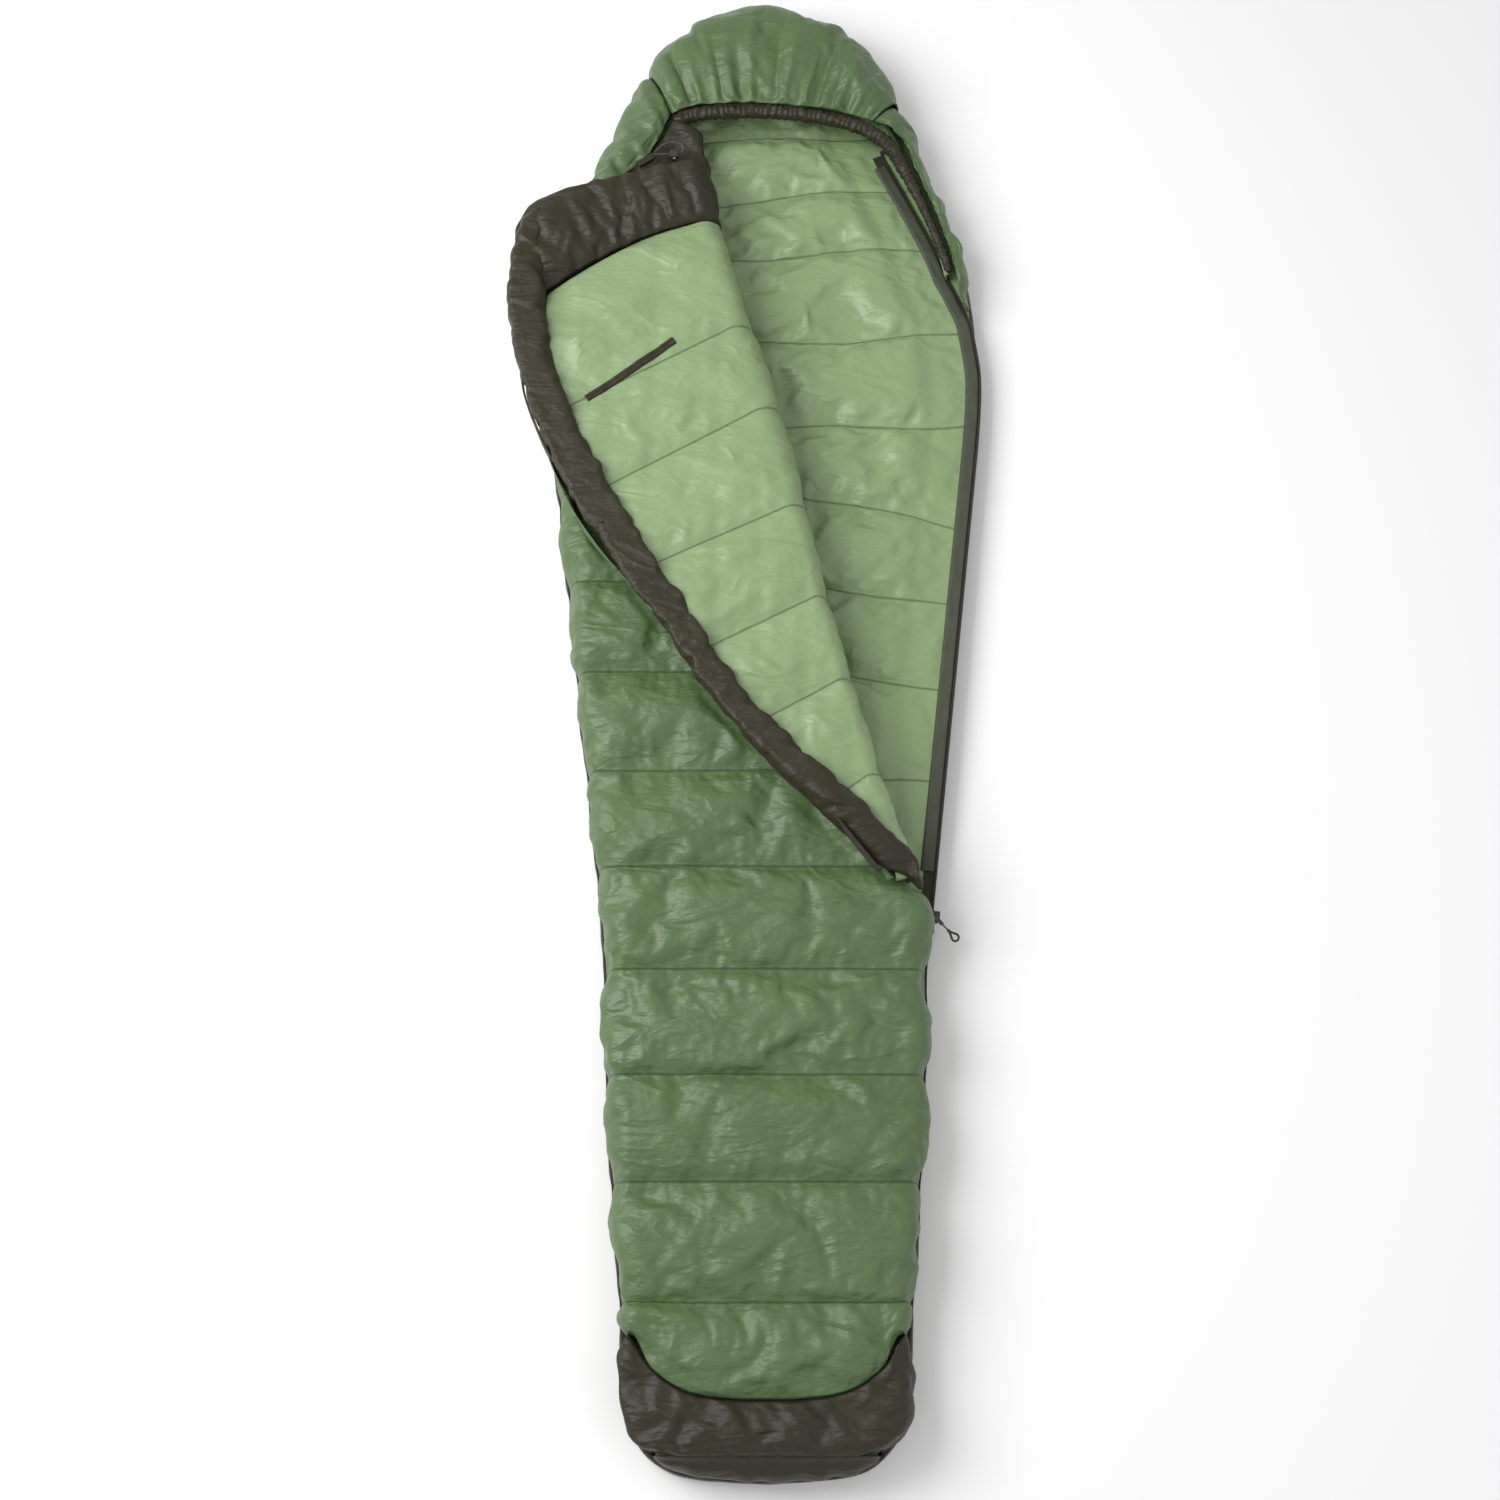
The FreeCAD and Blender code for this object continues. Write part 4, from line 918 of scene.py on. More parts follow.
class SLEEPINGBAG_OT_base(BagOperator, bpy.types.Operator):
    """The base quilt: brown underside and green lining"""
    bl_idname = "sleepingbag.base"
    bl_label = "Base quilt"

    def execute(self, context):
        ring = resample(np.vstack([RING, RING[:1]]), 420)
        normal = inward(ring)
        normal[[0, -1]] = (normal[0] + normal[-1]) / 2
        marks = sorted([-1.05, FOOT_Y, *TOP_SEAMS, 0.64, 0.77, 0.90, 1.05])
        full = puff(ring[:, 1], marks)
        section = [(0.0030, 0.0296, 0.0), (0.0004, 0.0288, 0.0), (-0.0010, 0.0250, 0.5),
                   (-0.0016, 0.0190, 1.0), (-0.0008, 0.0130, 1.0), (0.0015, 0.0075, 0.7),
                   (0.0060, 0.0030, 0.3), (0.0120, 0.0008, 0.0), (0.0300, 0.0004, 0.0)]
        uneven = ripple(ring[:, 0], ring[:, 1], 41, 0.03)
        lines = []
        for inset, height, swell in section:
            bulge = swell * (0.0040 * full - 0.0015) + swell * 0.0012 * uneven
            plan = ring + normal * (inset - bulge)[:, None]
            lines.append(np.column_stack([plan, np.full(len(ring), height)]))
        for share in (0.25, 0.5, 0.75, 1.0):
            flat = lines[len(section) - 1].copy()
            flat[:, 0] *= 1 - share
            flat[:, 1] *= 1 - 0.03 * share
            lines.append(flat)
        place = np.array(lines)
        piece = grid_piece("base_quilt", place, close=True)
        finish_cloth(piece, brown_cloth(), "bag", ("base_shell", "base_insulation"))
        self.lining(context)
        return {"FINISHED"}

    def lining(self, context):
        """The lining that the sleeper lies on, coarse where the quilt hides it."""
        sizes = context.scene.quilt_sizes
        rows, sewn = stations(sorted([-0.400, *BASE_SEAMS, 1.000]), sizes.cell)
        coarse = np.array([-1.015, -0.98, -0.92, -0.86, -0.80, -0.74, -0.68, -0.62, -0.56, -0.50, -0.45])
        rows = np.r_[coarse, rows]
        sewn = np.r_[np.ones(len(coarse), bool), sewn]
        half = half_width(rows) - 0.0035
        x = half[:, None] * np.linspace(-1, 1, 72)
        slope = table([(-1.1, 0.0), (-0.30, 0.0), (-0.155, -0.02), (-0.010, -0.10), (0.118, -0.18),
                       (0.243, -0.22), (0.3635, 0.02), (0.50, 0.05), (0.64, 0.06), (0.739, 0.10),
                       (0.833, 0.04), (1.05, 0.0)])
        y = rows[:, None] + slope(rows)[:, None] * (x - 0.12)
        y = y + 0.004 * np.sin(x * 22 + rows[:, None] * 17) * (np.abs(rows[:, None]) < 0.9)
        full = puff(rows, [-1.05, FOOT_Y, *BASE_SEAMS, 1.05])[:, None]
        inside = self.room(x, y)
        swell = 0.012 * full - 0.001
        swell = swell + 0.004 * ripple(x * 0.5, y, 51, 0.10) * full
        swell = swell + 0.0022 * ripple(x * 0.6, y, 52, 0.045) * full
        loose, high = np.clip(full + 0.2, 0, 1), (0.30, 0.95)
        long_folds = creases(x, y, 53, 95, (-0.20, -0.40), high, tilt=0.12, spread=0.22, length=0.13)
        short_folds = creases(x, y, 54, 100, (-0.10, -0.40), high, tilt=0.8, spread=0.5, length=0.05,
                              width=0.005)
        swell = swell + 0.0095 * long_folds * loose + 0.0060 * short_folds * loose
        z = 0.0312 + np.maximum(swell * smooth(inside, 0.004, 0.07), -0.0004)
        place = np.stack([x, y, z], 2)
        gap = seam_distance(rows, BASE_SEAMS)[:, None] + 0 * x
        piece = grid_piece("base_lining_cloth", place, gap, run_along(place))
        held = held_points(place, sewn | (rows < -0.42), 2, 0)
        held |= inside < 0.010

        def limit(settled):
            room = self.room(settled[:, 0], settled[:, 1])
            top = np.minimum(0.0352 + 0.40 * np.maximum(room - 0.050, 0), 0.0460)
            settled[:, 2] = np.clip(settled[:, 2], 0.0306, np.maximum(top, 0.0308))
            return settled

        settle(piece, held.ravel(), grow=0.085, pressure=0.2, frames=18, reach=0.008, bend=0.3, limit=limit)
        finish_cloth(piece, lining_cloth(), "bag", ("base_lining",))

    def room(self, x, y):
        """Distance inside the zip line on the right and the outline on the left."""
        half = half_width(np.clip(y, -1.02, 1.0))
        inset = np.interp(y, [-0.38, -0.33, 0.328, 0.45, 0.529, 0.60, 0.663, 0.716, 0.80, 0.86],
                          [0.0, 0.012, 0.012, 0.014, 0.020, 0.040, 0.047, 0.054, 0.062, 0.020])
        return np.minimum(half - inset - x, x + half)


def ruled_lid(name, inner, outer, replaced, seed, cell, rise, gather, columns, grow=0.08, reach=0.010):
    """A hood panel from an inner line out to the bag's outline and down its side.

    rise is how far it puffs out, and gather how deep the gathers along its inner line are.
    """
    span = np.linalg.norm(np.diff(outer, axis=0), axis=1).sum()
    count = max(12, int(span / cell))
    outer = resample(outer, count)
    line = resample(inner, count)
    gap = np.linalg.norm(outer - line[:, :2], axis=1)
    toward = (line[:, :2] - outer) / np.maximum(gap, 1e-6)[:, None]
    radius = np.minimum(0.075, 0.75 * gap)
    start = outer + toward * radius[:, None]
    start_z = line[:, 2] + (LID_TOP - line[:, 2]) * smooth(gap, 0.03, 0.08)
    parts = []
    for v in np.linspace(0, 1, columns):
        plan = line[:, :2] * (1 - v) + start * v
        parts.append(np.column_stack([plan, line[:, 2] * (1 - v) + start_z * v]))
    drop = start_z - LID_LOW - 0.006
    for angle in np.linspace(0, math.pi / 2, 12)[1:]:
        plan = outer + toward * (radius * (1 - math.sin(angle)))[:, None]
        parts.append(np.column_stack([plan, start_z - drop * (1 - math.cos(angle))]))
    for share in (0.5, 1.0):
        parts.append(np.column_stack([outer, (start_z - drop) * (1 - share) + LID_LOW * share]))
    place = np.array(parts).transpose(1, 0, 2)
    steps = np.r_[0, np.cumsum(np.linalg.norm(np.diff(outer, axis=0), axis=1))][:, None]
    outwards = run_along(place)
    far = outwards / np.maximum(outwards[:, -1:], 1e-6)
    full = np.sin(math.pi * np.clip(far, 0, 1)) ** 0.7
    ends = np.clip(np.minimum(steps, steps[-1] - steps) / 0.03, 0, 1)
    swell = rise * full * np.clip(outwards[:, -1:] / 0.12, 0, 1)
    swell = swell * (0.35 + 0.65 * ends) - 0.004 * (1 - ends)
    lobes = ripple(steps, steps * 0, seed, 0.032, 6) + 0.6 * ripple(steps, steps * 0, seed + 1, 0.016, 6)
    swell = swell + gather * lobes * np.exp(-outwards / 0.05) * np.clip(outwards / 0.008, 0, 1)
    x, y = place[..., 0], place[..., 1]
    swell = swell + 0.0016 * ripple(x, y, seed + 2, 0.05) * full
    folds = creases(x, y, seed + 3, 70, (-0.30, 0.62), (0.30, 1.03), tilt=1.2, spread=0.4, length=0.055,
                    width=0.006)
    swell = swell + 0.0062 * full * folds
    swell[:, -1] = -0.001
    place = outward_offset(place, swell)
    seam = np.minimum(steps, steps[-1] - steps) + 0 * far
    piece = grid_piece(name, place, seam, outwards)
    held = held_points(place, [0, -1], 1, 2)
    settle(piece, held.ravel(), grow=grow, pressure=0.5, frames=16, reach=reach)
    finish_cloth(piece, shell_cloth(), "bag", replaced)


# Where the hood's panels start and end on the outline, from the zip side round to the left.
CROWN_ENDS = [(0.294, 0.547), (0.199, 0.869), (-0.170, 0.922), (-0.281, 0.668)]
RIM = [(0.281, 0.548, 0.056), (0.268, 0.620, 0.061), (0.245, 0.692, 0.068), (0.221, 0.750, 0.074),
       (0.201, 0.800, 0.079), (0.180, 0.821, 0.084), (0.139, 0.833, 0.087), (0.106, 0.842, 0.088),
       (0.049, 0.850, 0.0885), (-0.013, 0.856, 0.0885), (-0.060, 0.855, 0.088), (-0.104, 0.851, 0.087),
       (-0.134, 0.841, 0.085)]
NECK_SEAM = [(-0.134, 0.841, 0.085), (-0.146, 0.812, 0.087), (-0.163, 0.775, 0.0885), (-0.195, 0.742, 0.0885),
             (-0.229, 0.712, 0.0880), (-0.262, 0.683, 0.076), (-0.279, 0.668, 0.050)]
CHANNEL = [(-0.130, 0.831, 0.076), (-0.104, 0.841, 0.078), (-0.054, 0.846, 0.079), (0.0, 0.846, 0.080),
           (0.054, 0.841, 0.080), (0.104, 0.832, 0.079), (0.148, 0.817, 0.077), (0.180, 0.794, 0.073),
           (0.204, 0.752, 0.068), (0.227, 0.703, 0.062), (0.248, 0.650, 0.056), (0.265, 0.600, 0.052)]


def tube_piece(name, line, radius, around, shape):
    """A closed tube along a line; shape(run, angle) scales its radius."""
    step = np.gradient(line, axis=0)
    step /= np.linalg.norm(step, axis=1)[:, None]
    side = np.cross(step, [0.0, 0.0, 1.0])
    side /= np.linalg.norm(side, axis=1)[:, None]
    up = np.cross(side, step)
    run = np.r_[0, np.cumsum(np.linalg.norm(np.diff(line, axis=0), axis=1))][:, None]
    angle = np.linspace(0, 2 * math.pi, around + 1)[None, :]
    size = radius[:, None] * shape(run, angle)
    place = (line[:, None] + side[:, None] * (size * np.cos(angle))[..., None]
             + up[:, None] * (size * np.sin(angle))[..., None])
    return grid_piece(name, place, close=True)


class SLEEPINGBAG_OT_hood(BagOperator, bpy.types.Operator):
    """The hood's three panels, its lining and its gathered drawcord channel"""
    bl_idname = "sleepingbag.hood"
    bl_label = "Hood"

    def execute(self, context):
        sizes = context.scene.quilt_sizes
        rim = rounded_line(RIM, 300)
        corner = int(np.argmin(np.linalg.norm(rim[:, :2] - np.array([0.158, 0.828]), axis=1)))
        right, centre = rim[:corner + 1], rim[corner:]
        neck = rounded_line(NECK_SEAM, 120)
        low_right, crown_right, crown_left, low_left = CROWN_ENDS
        ruled_lid("hood_right", right, ring_part(low_right, crown_right, 200), ("hood_right_panel",),
                  seed=61, cell=0.0085, rise=0.004, gather=0.0030, columns=7, reach=0.006)
        ruled_lid("hood_centre", centre, ring_part(crown_right, crown_left, 300),
                  ("hood_centre_panel", "hood_insulation"),
                  seed=64, cell=0.0070, rise=0.009, gather=0.0050, columns=24, grow=0.09, reach=0.011)
        ruled_lid("hood_left", neck, ring_part(crown_left, low_left, 200), ("hood_left_panel",),
                  seed=67, cell=0.0080, rise=0.007, gather=0.0035, columns=13, reach=0.008)
        line = rounded_line(CHANNEL, 300)
        run = np.r_[0, np.cumsum(np.linalg.norm(np.diff(line, axis=0), axis=1))]
        radius = sizes.channel * (1 - 0.42 * smooth(run, 0.33, 0.46))
        radius = radius * np.sqrt(np.clip(np.minimum(run + 0.003, run[-1] + 0.003 - run) / 0.008, 0.05, 1))

        def gathers(at, angle):
            wave = 0.0085
            slip = 1.5 * np.sin(angle + at * 60) + 3 * ripple(at, at * 0, 71, 0.03)
            fold = np.sin(2 * math.pi * at / wave + slip)
            return 1 + 0.13 * fold + 0.12 * ripple(at, angle * 0.02, 72, 0.02) + 0.10 * np.cos(angle) ** 2

        piece = tube_piece("hood_channel", line, radius, 18, gathers)
        finish_cloth(piece, brown_cloth(), "bag", ("hood_edge_channel",),
                     thick=0.0008)
        self.lining(context)
        return {"FINISHED"}

    def lining(self, context):
        """The hood's lining, from the channel back to the outline and down."""
        front = rounded_line(CHANNEL[::-1], 200)
        neck = rounded_line([(p[0] - 0.001, p[1] - 0.002, p[2]) for p in NECK_SEAM], 60)
        neck[:, 2] = np.minimum(neck[:, 2] - 0.026, 0.060)
        front[:, 2] -= 0.006
        line = resample(np.vstack([front, neck[6:]]), 110)
        outer = ring_part((0.287, 0.600), (-0.277, 0.672), 110)
        outer = outer + inward(outer) * 0.030
        parts = []
        for v in np.linspace(0, 1, 14):
            plan = line[:, :2] * (1 - v) + outer * v
            low = line[:, 2] * (1 - v) + np.minimum(ROOF_LOW, line[:, 2]) * v
            parts.append(np.column_stack([plan, low]))
        for share in (0.15, 0.4, 0.7, 1.0):
            parts.append(np.column_stack([outer - inward(outer) * 0.003,
                                          np.minimum(ROOF_LOW, line[:, 2]) * (1 - share) + 0.0362 * share]))
        place = np.array(parts).transpose(1, 0, 2)
        steps = np.arange(len(line))[:, None] * 0.0095
        out = run_along(place)
        place[..., 2] += 0.0022 * ripple(steps, out, 81, 0.03) * np.exp(-out / 0.08)
        piece = grid_piece("hood_inner", place, out - 0.02, steps + 0 * out, flip=True)
        finish_cloth(piece, lining_cloth(), "bag", ("hood_lining",))


class SLEEPINGBAG_OT_neck(BagOperator, bpy.types.Operator):
    """The neck collar of the closed half"""
    bl_idname = "sleepingbag.neck"
    bl_label = "Neck collar"

    def execute(self, context):
        rows = np.linspace(0, 1, 27)
        left_y = 0.565 + (0.668 - 0.565) * rows
        half = half_width(left_y)
        top_count = 34
        share = np.linspace(0, 1, top_count)
        fold_t = COLLAR_T + (1.197 - COLLAR_T) * rows
        reach = -0.004 + 0.018 * smooth(fold_t, 1.088, 1.112) * (1 - smooth(fold_t, 1.170, 1.197))
        end_x, end_y = fold_xy(reach, fold_t)
        seam = resample(np.array([(p[0], p[1]) for p in NECK_SEAM[::-1]]), top_count)
        seam[0] = (-half[-1] + EDGE_ROUND, 0.690)
        low_x = (-half[0] + EDGE_ROUND) * (1 - share) + end_x[0] * share
        low_y = np.interp(low_x, [-0.31, -0.0725, 0.1], [0.5650, 0.6290, 0.6767])
        top = np.zeros((len(rows), top_count, 3))
        for i, v in enumerate(rows):
            top[i, :, 0] = low_x * (1 - v) + seam[:, 0] * v
            top[i, :, 1] = low_y * (1 - v) + seam[:, 1] * v
            shift = (np.array([end_x[i], end_y[i]]) - top[i, -1, :2])
            top[i, :, :2] += shift * smooth(share, 0.55, 1.0)[:, None]
        top[..., 2] = LID_TOP
        bends = np.linspace(0, math.pi / 2, 5)[1:]
        left = []
        for height in (0.0, 0.33, 0.66):
            left.append(np.column_stack([-half, left_y, np.full(len(rows), LID_LOW + 0.034 * height)]))
        for angle in bends[::-1]:
            left.append(np.column_stack([-half + EDGE_ROUND * (1 - math.sin(angle)), left_y,
                                         np.full(len(rows), LID_TOP - EDGE_ROUND * (1 - math.cos(angle)))]))
        right = []
        roll = 0.010 + 0.006 * smooth(fold_t, 1.088, 1.112)
        for angle in bends:
            plan = np.stack([end_x, end_y], 1) + ACROSS[None, :] * (roll * math.sin(angle))[:, None]
            right.append(np.column_stack([plan, LID_TOP - roll * (1 - math.cos(angle))]))
        for step in (0.5, 1.0):
            plan = np.stack([end_x, end_y], 1) + ACROSS[None, :] * roll[:, None]
            right.append(np.column_stack([plan, (LID_TOP - roll) * (1 - step) + 0.052 * step]))
        left, right = (np.array(part).transpose(1, 0, 2) for part in (left, right))
        place = np.concatenate([left, top, right], 1)
        across = run_along(place)
        x, y = place[..., 0], place[..., 1]
        full = (np.sin(math.pi * rows) ** 0.6)[:, None]
        pull = -0.006 * (1 - full)
        rolls = ripple(across, across * 0.15 + rows[:, None] * 0.02, 91, 0.026)
        pull = pull + 0.0030 * rolls * (0.4 + 0.6 * full)
        pull = pull + 0.0020 * puckers(across, (1 - rows[:, None]) * 0.15, 92, wave=0.012, reach=0.05)
        folds = creases(x, y, 93, 34, (-0.29, 0.60), (0.0, 0.84), tilt=1.2, spread=0.4, length=0.06,
                        width=0.006)
        pull = pull + 0.0065 * folds * full
        pull[:, 0] = -0.001
        place = outward_offset(place, pull)
        place[..., 2] = np.minimum(place[..., 2], self.ceiling(place[..., 0], place[..., 1]))
        piece = grid_piece("neck_collar", place, (1 - rows[:, None]) * 0.15 + 0 * x, across)
        held = held_points(place, [0, -1], 2, 1)

        def limit(settled):
            settled[:, 2] = np.minimum(settled[:, 2], self.ceiling(settled[:, 0], settled[:, 1]))
            return settled

        settle(piece, held.ravel(), grow=0.10, pressure=0.4, frames=16, reach=0.008, limit=limit)
        finish_cloth(piece, brown_stitched(), "bag",
                     ("neck_collar_shell", "neck_collar_insulation", "neck_collar_lining"))
        return {"FINISHED"}

    def ceiling(self, x, y):
        """The collar stays under the laid-back flap and under the cord lock's deck."""
        s, t = fold_st(x, y)
        high = np.full(np.shape(x), 0.0960)
        high = np.where((t < NECK_T + 0.006) & (s < 0.002), 0.0898, high)
        path = rounded_line([(-0.230, 0.704), (-0.205, 0.729), (-0.181, 0.750), (-0.158, 0.765),
                             (-0.128, 0.768), (-0.112, 0.772)], 40)
        loop = rounded_line([(-0.158, 0.766), (-0.148, 0.779), (-0.135, 0.785), (-0.118, 0.781)], 20)
        path = np.vstack([path, loop])
        off_x, off_y = np.asarray(x)[..., None] - path[:, 0], np.asarray(y)[..., None] - path[:, 1]
        near = np.min(np.hypot(off_x, off_y), axis=-1)
        return np.where(near < 0.030, np.minimum(high, 0.0888 + 0.25 * np.maximum(near - 0.010, 0)), high)


# ---- the laid-back flap ---------------------------------------------------------------------
def flap_edge_z(t, full):
    """Height of the flap's lining where it rolls over the fold."""
    return flap_rise(t) - 0.004 * (1 - full)


def fold_columns(count):
    return np.linspace(0, math.pi, count + 1)[1:]


class SLEEPINGBAG_OT_flap_lining(BagOperator, bpy.types.Operator):
    """The flap's lining, rolling over the fold into the roof's lining, and the pocket's mouth"""
    bl_idname = "sleepingbag.flap_lining"
    bl_label = "Flap lining"

    def execute(self, context):
        sizes = context.scene.quilt_sizes
        marks = [0.022] + FLAP_SEAMS + [1.000]
        rows, sewn = stations(marks, sizes.cell * 0.88)
        full = puff(rows, marks)
        near = np.minimum(band_inner(rows) - 0.014, -FOLD_BACK - 0.0008)
        share = np.linspace(0, 1, 40)
        s = near[:, None] * (1 - share) + (-FOLD_BACK) * share
        t = rows[:, None] + seam_slope(rows)[:, None] * s
        border = table([(-0.30, -0.075), (-0.250, -0.050), (-0.164, -0.019), (-0.087, -0.002), (0.0, 0.0),
                        (0.05, 0.0)])
        t = t + border(s) * smooth(rows, 0.83, 1.0)[:, None]
        run = -s
        roll = 1 - np.exp(-(run - FOLD_BACK) / 0.018)
        z = flap_edge_z(rows, full)[:, None] + roll * (0.0045 * full[:, None] - 0.003)
        z = z + 0.0022 * ripple(s * 0.7, t, 101, 0.075) * full[:, None] * roll
        gathers = puckers(run + 0.3 * t, seam_distance(rows, marks)[:, None], 102, wave=0.020, reach=0.035)
        z = z + 0.0016 * gathers * roll
        x, y = fold_xy(s, t)
        low, high = (-0.24, 0.05), (0.0, 1.0)
        long_folds = creases(s, t, 105, 70, low, high, tilt=0.25, spread=0.3, length=0.075, width=0.0065)
        short_folds = creases(s, t, 106, 80, low, high, tilt=0.9, spread=0.5, length=0.035, width=0.0042)
        open_folds = long_folds + 0.7 * short_folds
        z = z + 0.0072 * open_folds * full[:, None] * roll
        face = np.stack([x, y, z], 2)
        bend = fold_columns(18)[None, :]
        reach = fold_reach(rows)[:, None] + FOLD_BACK
        top = flap_edge_z(rows, full)[:, None]
        middle, high = (top + ROOF_LOW) / 2, (top - ROOF_LOW) / 2
        ds = -FOLD_BACK + (reach - 0.003 * (1 - full[:, None])) * np.sin(bend) ** 0.9
        dz = middle + high * np.cos(bend)
        side_t = t[:, -1:] + 0 * bend
        fold = 0.0018 * ripple(side_t, bend * 0.02, 103, 0.035)
        fold = (fold + 0.0014 * ripple(side_t, bend * 0.01, 104, 0.016)) * np.sin(bend)
        x, y = fold_xy(ds + fold * np.sin(bend), side_t)
        curl = np.stack([x, y, dz + fold * np.cos(bend)], 2)
        place = np.concatenate([face, curl], 1)
        cap = place[:1].copy()
        cap[..., 2] = np.minimum(cap[..., 2], 0.0935)
        place = np.concatenate([cap, place], 0)
        rows_all = np.r_[rows[:1] - 0.005, rows]
        gap = seam_distance(rows_all, FLAP_SEAMS)[:, None] + 0 * place[..., 0]
        piece = grid_piece("flap_lining_cloth", place, gap, run_along(place))
        held = held_points(place, np.r_[True, sewn], 2, 2)

        def limit(settled):
            settled[:, 2] = np.minimum(settled[:, 2], LINING_LIMIT_Z)
            return settled

        settle(piece, held.ravel(), grow=0.05, pressure=0.1, frames=16, reach=0.004, bend=0.2, limit=limit)
        finish_cloth(piece, lining_cloth(), None, ("flap_lining", "pocket_bag"))
        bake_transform(piece)
        self.welt(context, piece)
        return {"FINISHED"}

    def welt(self, context, lining):
        """The pocket's brown mouth: a welt folded over the slit in the lining."""
        flat = node_points("pocket_welt")[:, :2]
        centre = (flat.max(0) + flat.min(0)) / 2
        spread = flat - centre
        axis = np.linalg.svd(spread, full_matrices=False)[2][0]
        axis = axis if axis[0] > 0 else -axis
        across = np.array([-axis[1], axis[0]])
        cloth = read_points(lining)
        u = np.linspace(-0.074, 0.074, 75)[None, :]
        v = np.array([-0.0058, -0.0052, -0.0030, -0.0008, 0.0, 0.0008, 0.0030, 0.0052, 0.0058])[:, None]
        rise = [-0.0010, 0.0010, 0.0019, 0.0017]
        lift = np.array([*rise, 0.0004, *rise[::-1]])[:, None]
        x = centre[0] + axis[0] * u + across[0] * v
        y = centre[1] + axis[1] * u + across[1] * v
        top = np.zeros(x.shape)
        for index in np.ndindex(x.shape):
            away = np.hypot(cloth[:, 0] - x[index], cloth[:, 1] - y[index]) + (cloth[:, 2] < 0.100)
            close = np.argsort(away)[:4]
            top[index] = np.max(cloth[close, 2])
        top = (top + np.roll(top, 1, 1) + np.roll(top, -1, 1)) / 3
        top = np.repeat(top.mean(0)[None, :], len(v), 0)
        place = np.stack([x, y, top + lift + 0.0004 * ripple(u, v, 111, 0.02)], 2)
        piece = grid_piece("pocket_mouth", place)
        finish_cloth(piece, brown_cloth(), "flap", ("pocket_welt",), thick=0.0010)


class SLEEPINGBAG_OT_flap_shell(BagOperator, bpy.types.Operator):
    """The flap's outer fabric and the strip that joins it to the closed half along the fold"""
    bl_idname = "sleepingbag.flap_shell"
    bl_label = "Flap shell"

    def execute(self, context):
        sizes = context.scene.quilt_sizes
        marks = [0.022, 0.039, 0.173, 0.315, 0.449, 0.586, 0.723, 0.860, COLLAR_T, 1.0835]
        rows = stations(marks, sizes.cell * 1.15)[0]
        gap = seam_distance(rows, marks[1:-1])
        full = puff(rows, marks)
        corner_t = 0.990
        corner = np.clip((rows - corner_t) / 0.095, 0, 1)
        edge = np.where(rows < corner_t, zip_edge(rows) + 0.006, -0.177 - 0.089 * np.sqrt(1 - corner**2))
        edge = np.minimum(edge, -0.012)
        radius = np.minimum(0.018, 0.6 * (-0.003 - edge))
        brim = flap_rise(rows)
        under_z = 0.092
        parts_s, parts_z = [], []
        for share in (1.0, 0.6):
            parts_s.append(edge)
            parts_z.append(brim * share + (under_z + radius) * (1 - share))
        for angle in np.linspace(math.pi / 2, 0, 6)[:-1]:
            parts_s.append(edge + radius * (1 - math.sin(angle)))
            parts_z.append(under_z + radius * (1 - math.cos(angle)))
        parts_s, parts_z = np.stack(parts_s, 1), np.stack(parts_z, 1)
        share = np.linspace(0, 1, 40)
        flat_s = (edge + radius)[:, None] * (1 - share) + (-0.0030) * share
        s = np.hstack([parts_s, flat_s])
        z = np.hstack([parts_z, np.full(flat_s.shape, under_z)])
        slant = 0.276 * smooth(rows, 0.06, 0.17) * (1 - smooth(rows, 0.93, 1.05))
        t = rows[:, None] + slant[:, None] * s
        x, y = fold_xy(s, t)
        place = np.stack([x, y, z], 2)
        from_fold = smooth(-s, 0.004, 0.040)
        pull = 0.0095 * (1 - full[:, None]) * from_fold
        pull = pull + 0.0014 * np.abs(ripple(x, y, 121, 0.06)) * full[:, None] * from_fold
        pull = pull + 0.0012 * np.abs(puckers(-s, gap[:, None], 122)) * from_fold
        pull[:, 0] = 0.0
        place = outward_offset(place, pull)
        piece = grid_piece("flap_outer", place, gap[:, None], run_along(place), flip=True)
        finish_cloth(piece, shell_cloth(), "flap", ("flap_shell", "flap_insulation"))
        piece.data.materials.append(brown_stitched())
        for face in piece.data.polygons:
            face.material_index = int(fold_st(face.center.x, face.center.y)[1] > COLLAR_T)
        rows = stations([0.022, 0.50, COLLAR_T], 0.012)[0]
        lap = [-0.0170, -0.0110, -0.0050, -0.0015]
        offsets = np.array([*lap, 0.0, *lap[::-1]])
        heights = np.array([0.0885, 0.0895, 0.0897, 0.0903, 0.0910, 0.0917, 0.0923, 0.0925, 0.0935])
        x, y = fold_xy(offsets[None, :] + 0 * rows[:, None], rows[:, None] + 0 * offsets[None, :])
        place = np.stack([x, y, heights[None, :] + 0 * x], 2)
        piece = grid_piece("fold_strip", place)
        finish_cloth(piece, shell_cloth(), None, thick=0.0014, levels=0, out=True)
        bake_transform(piece)
        return {"FINISHED"}


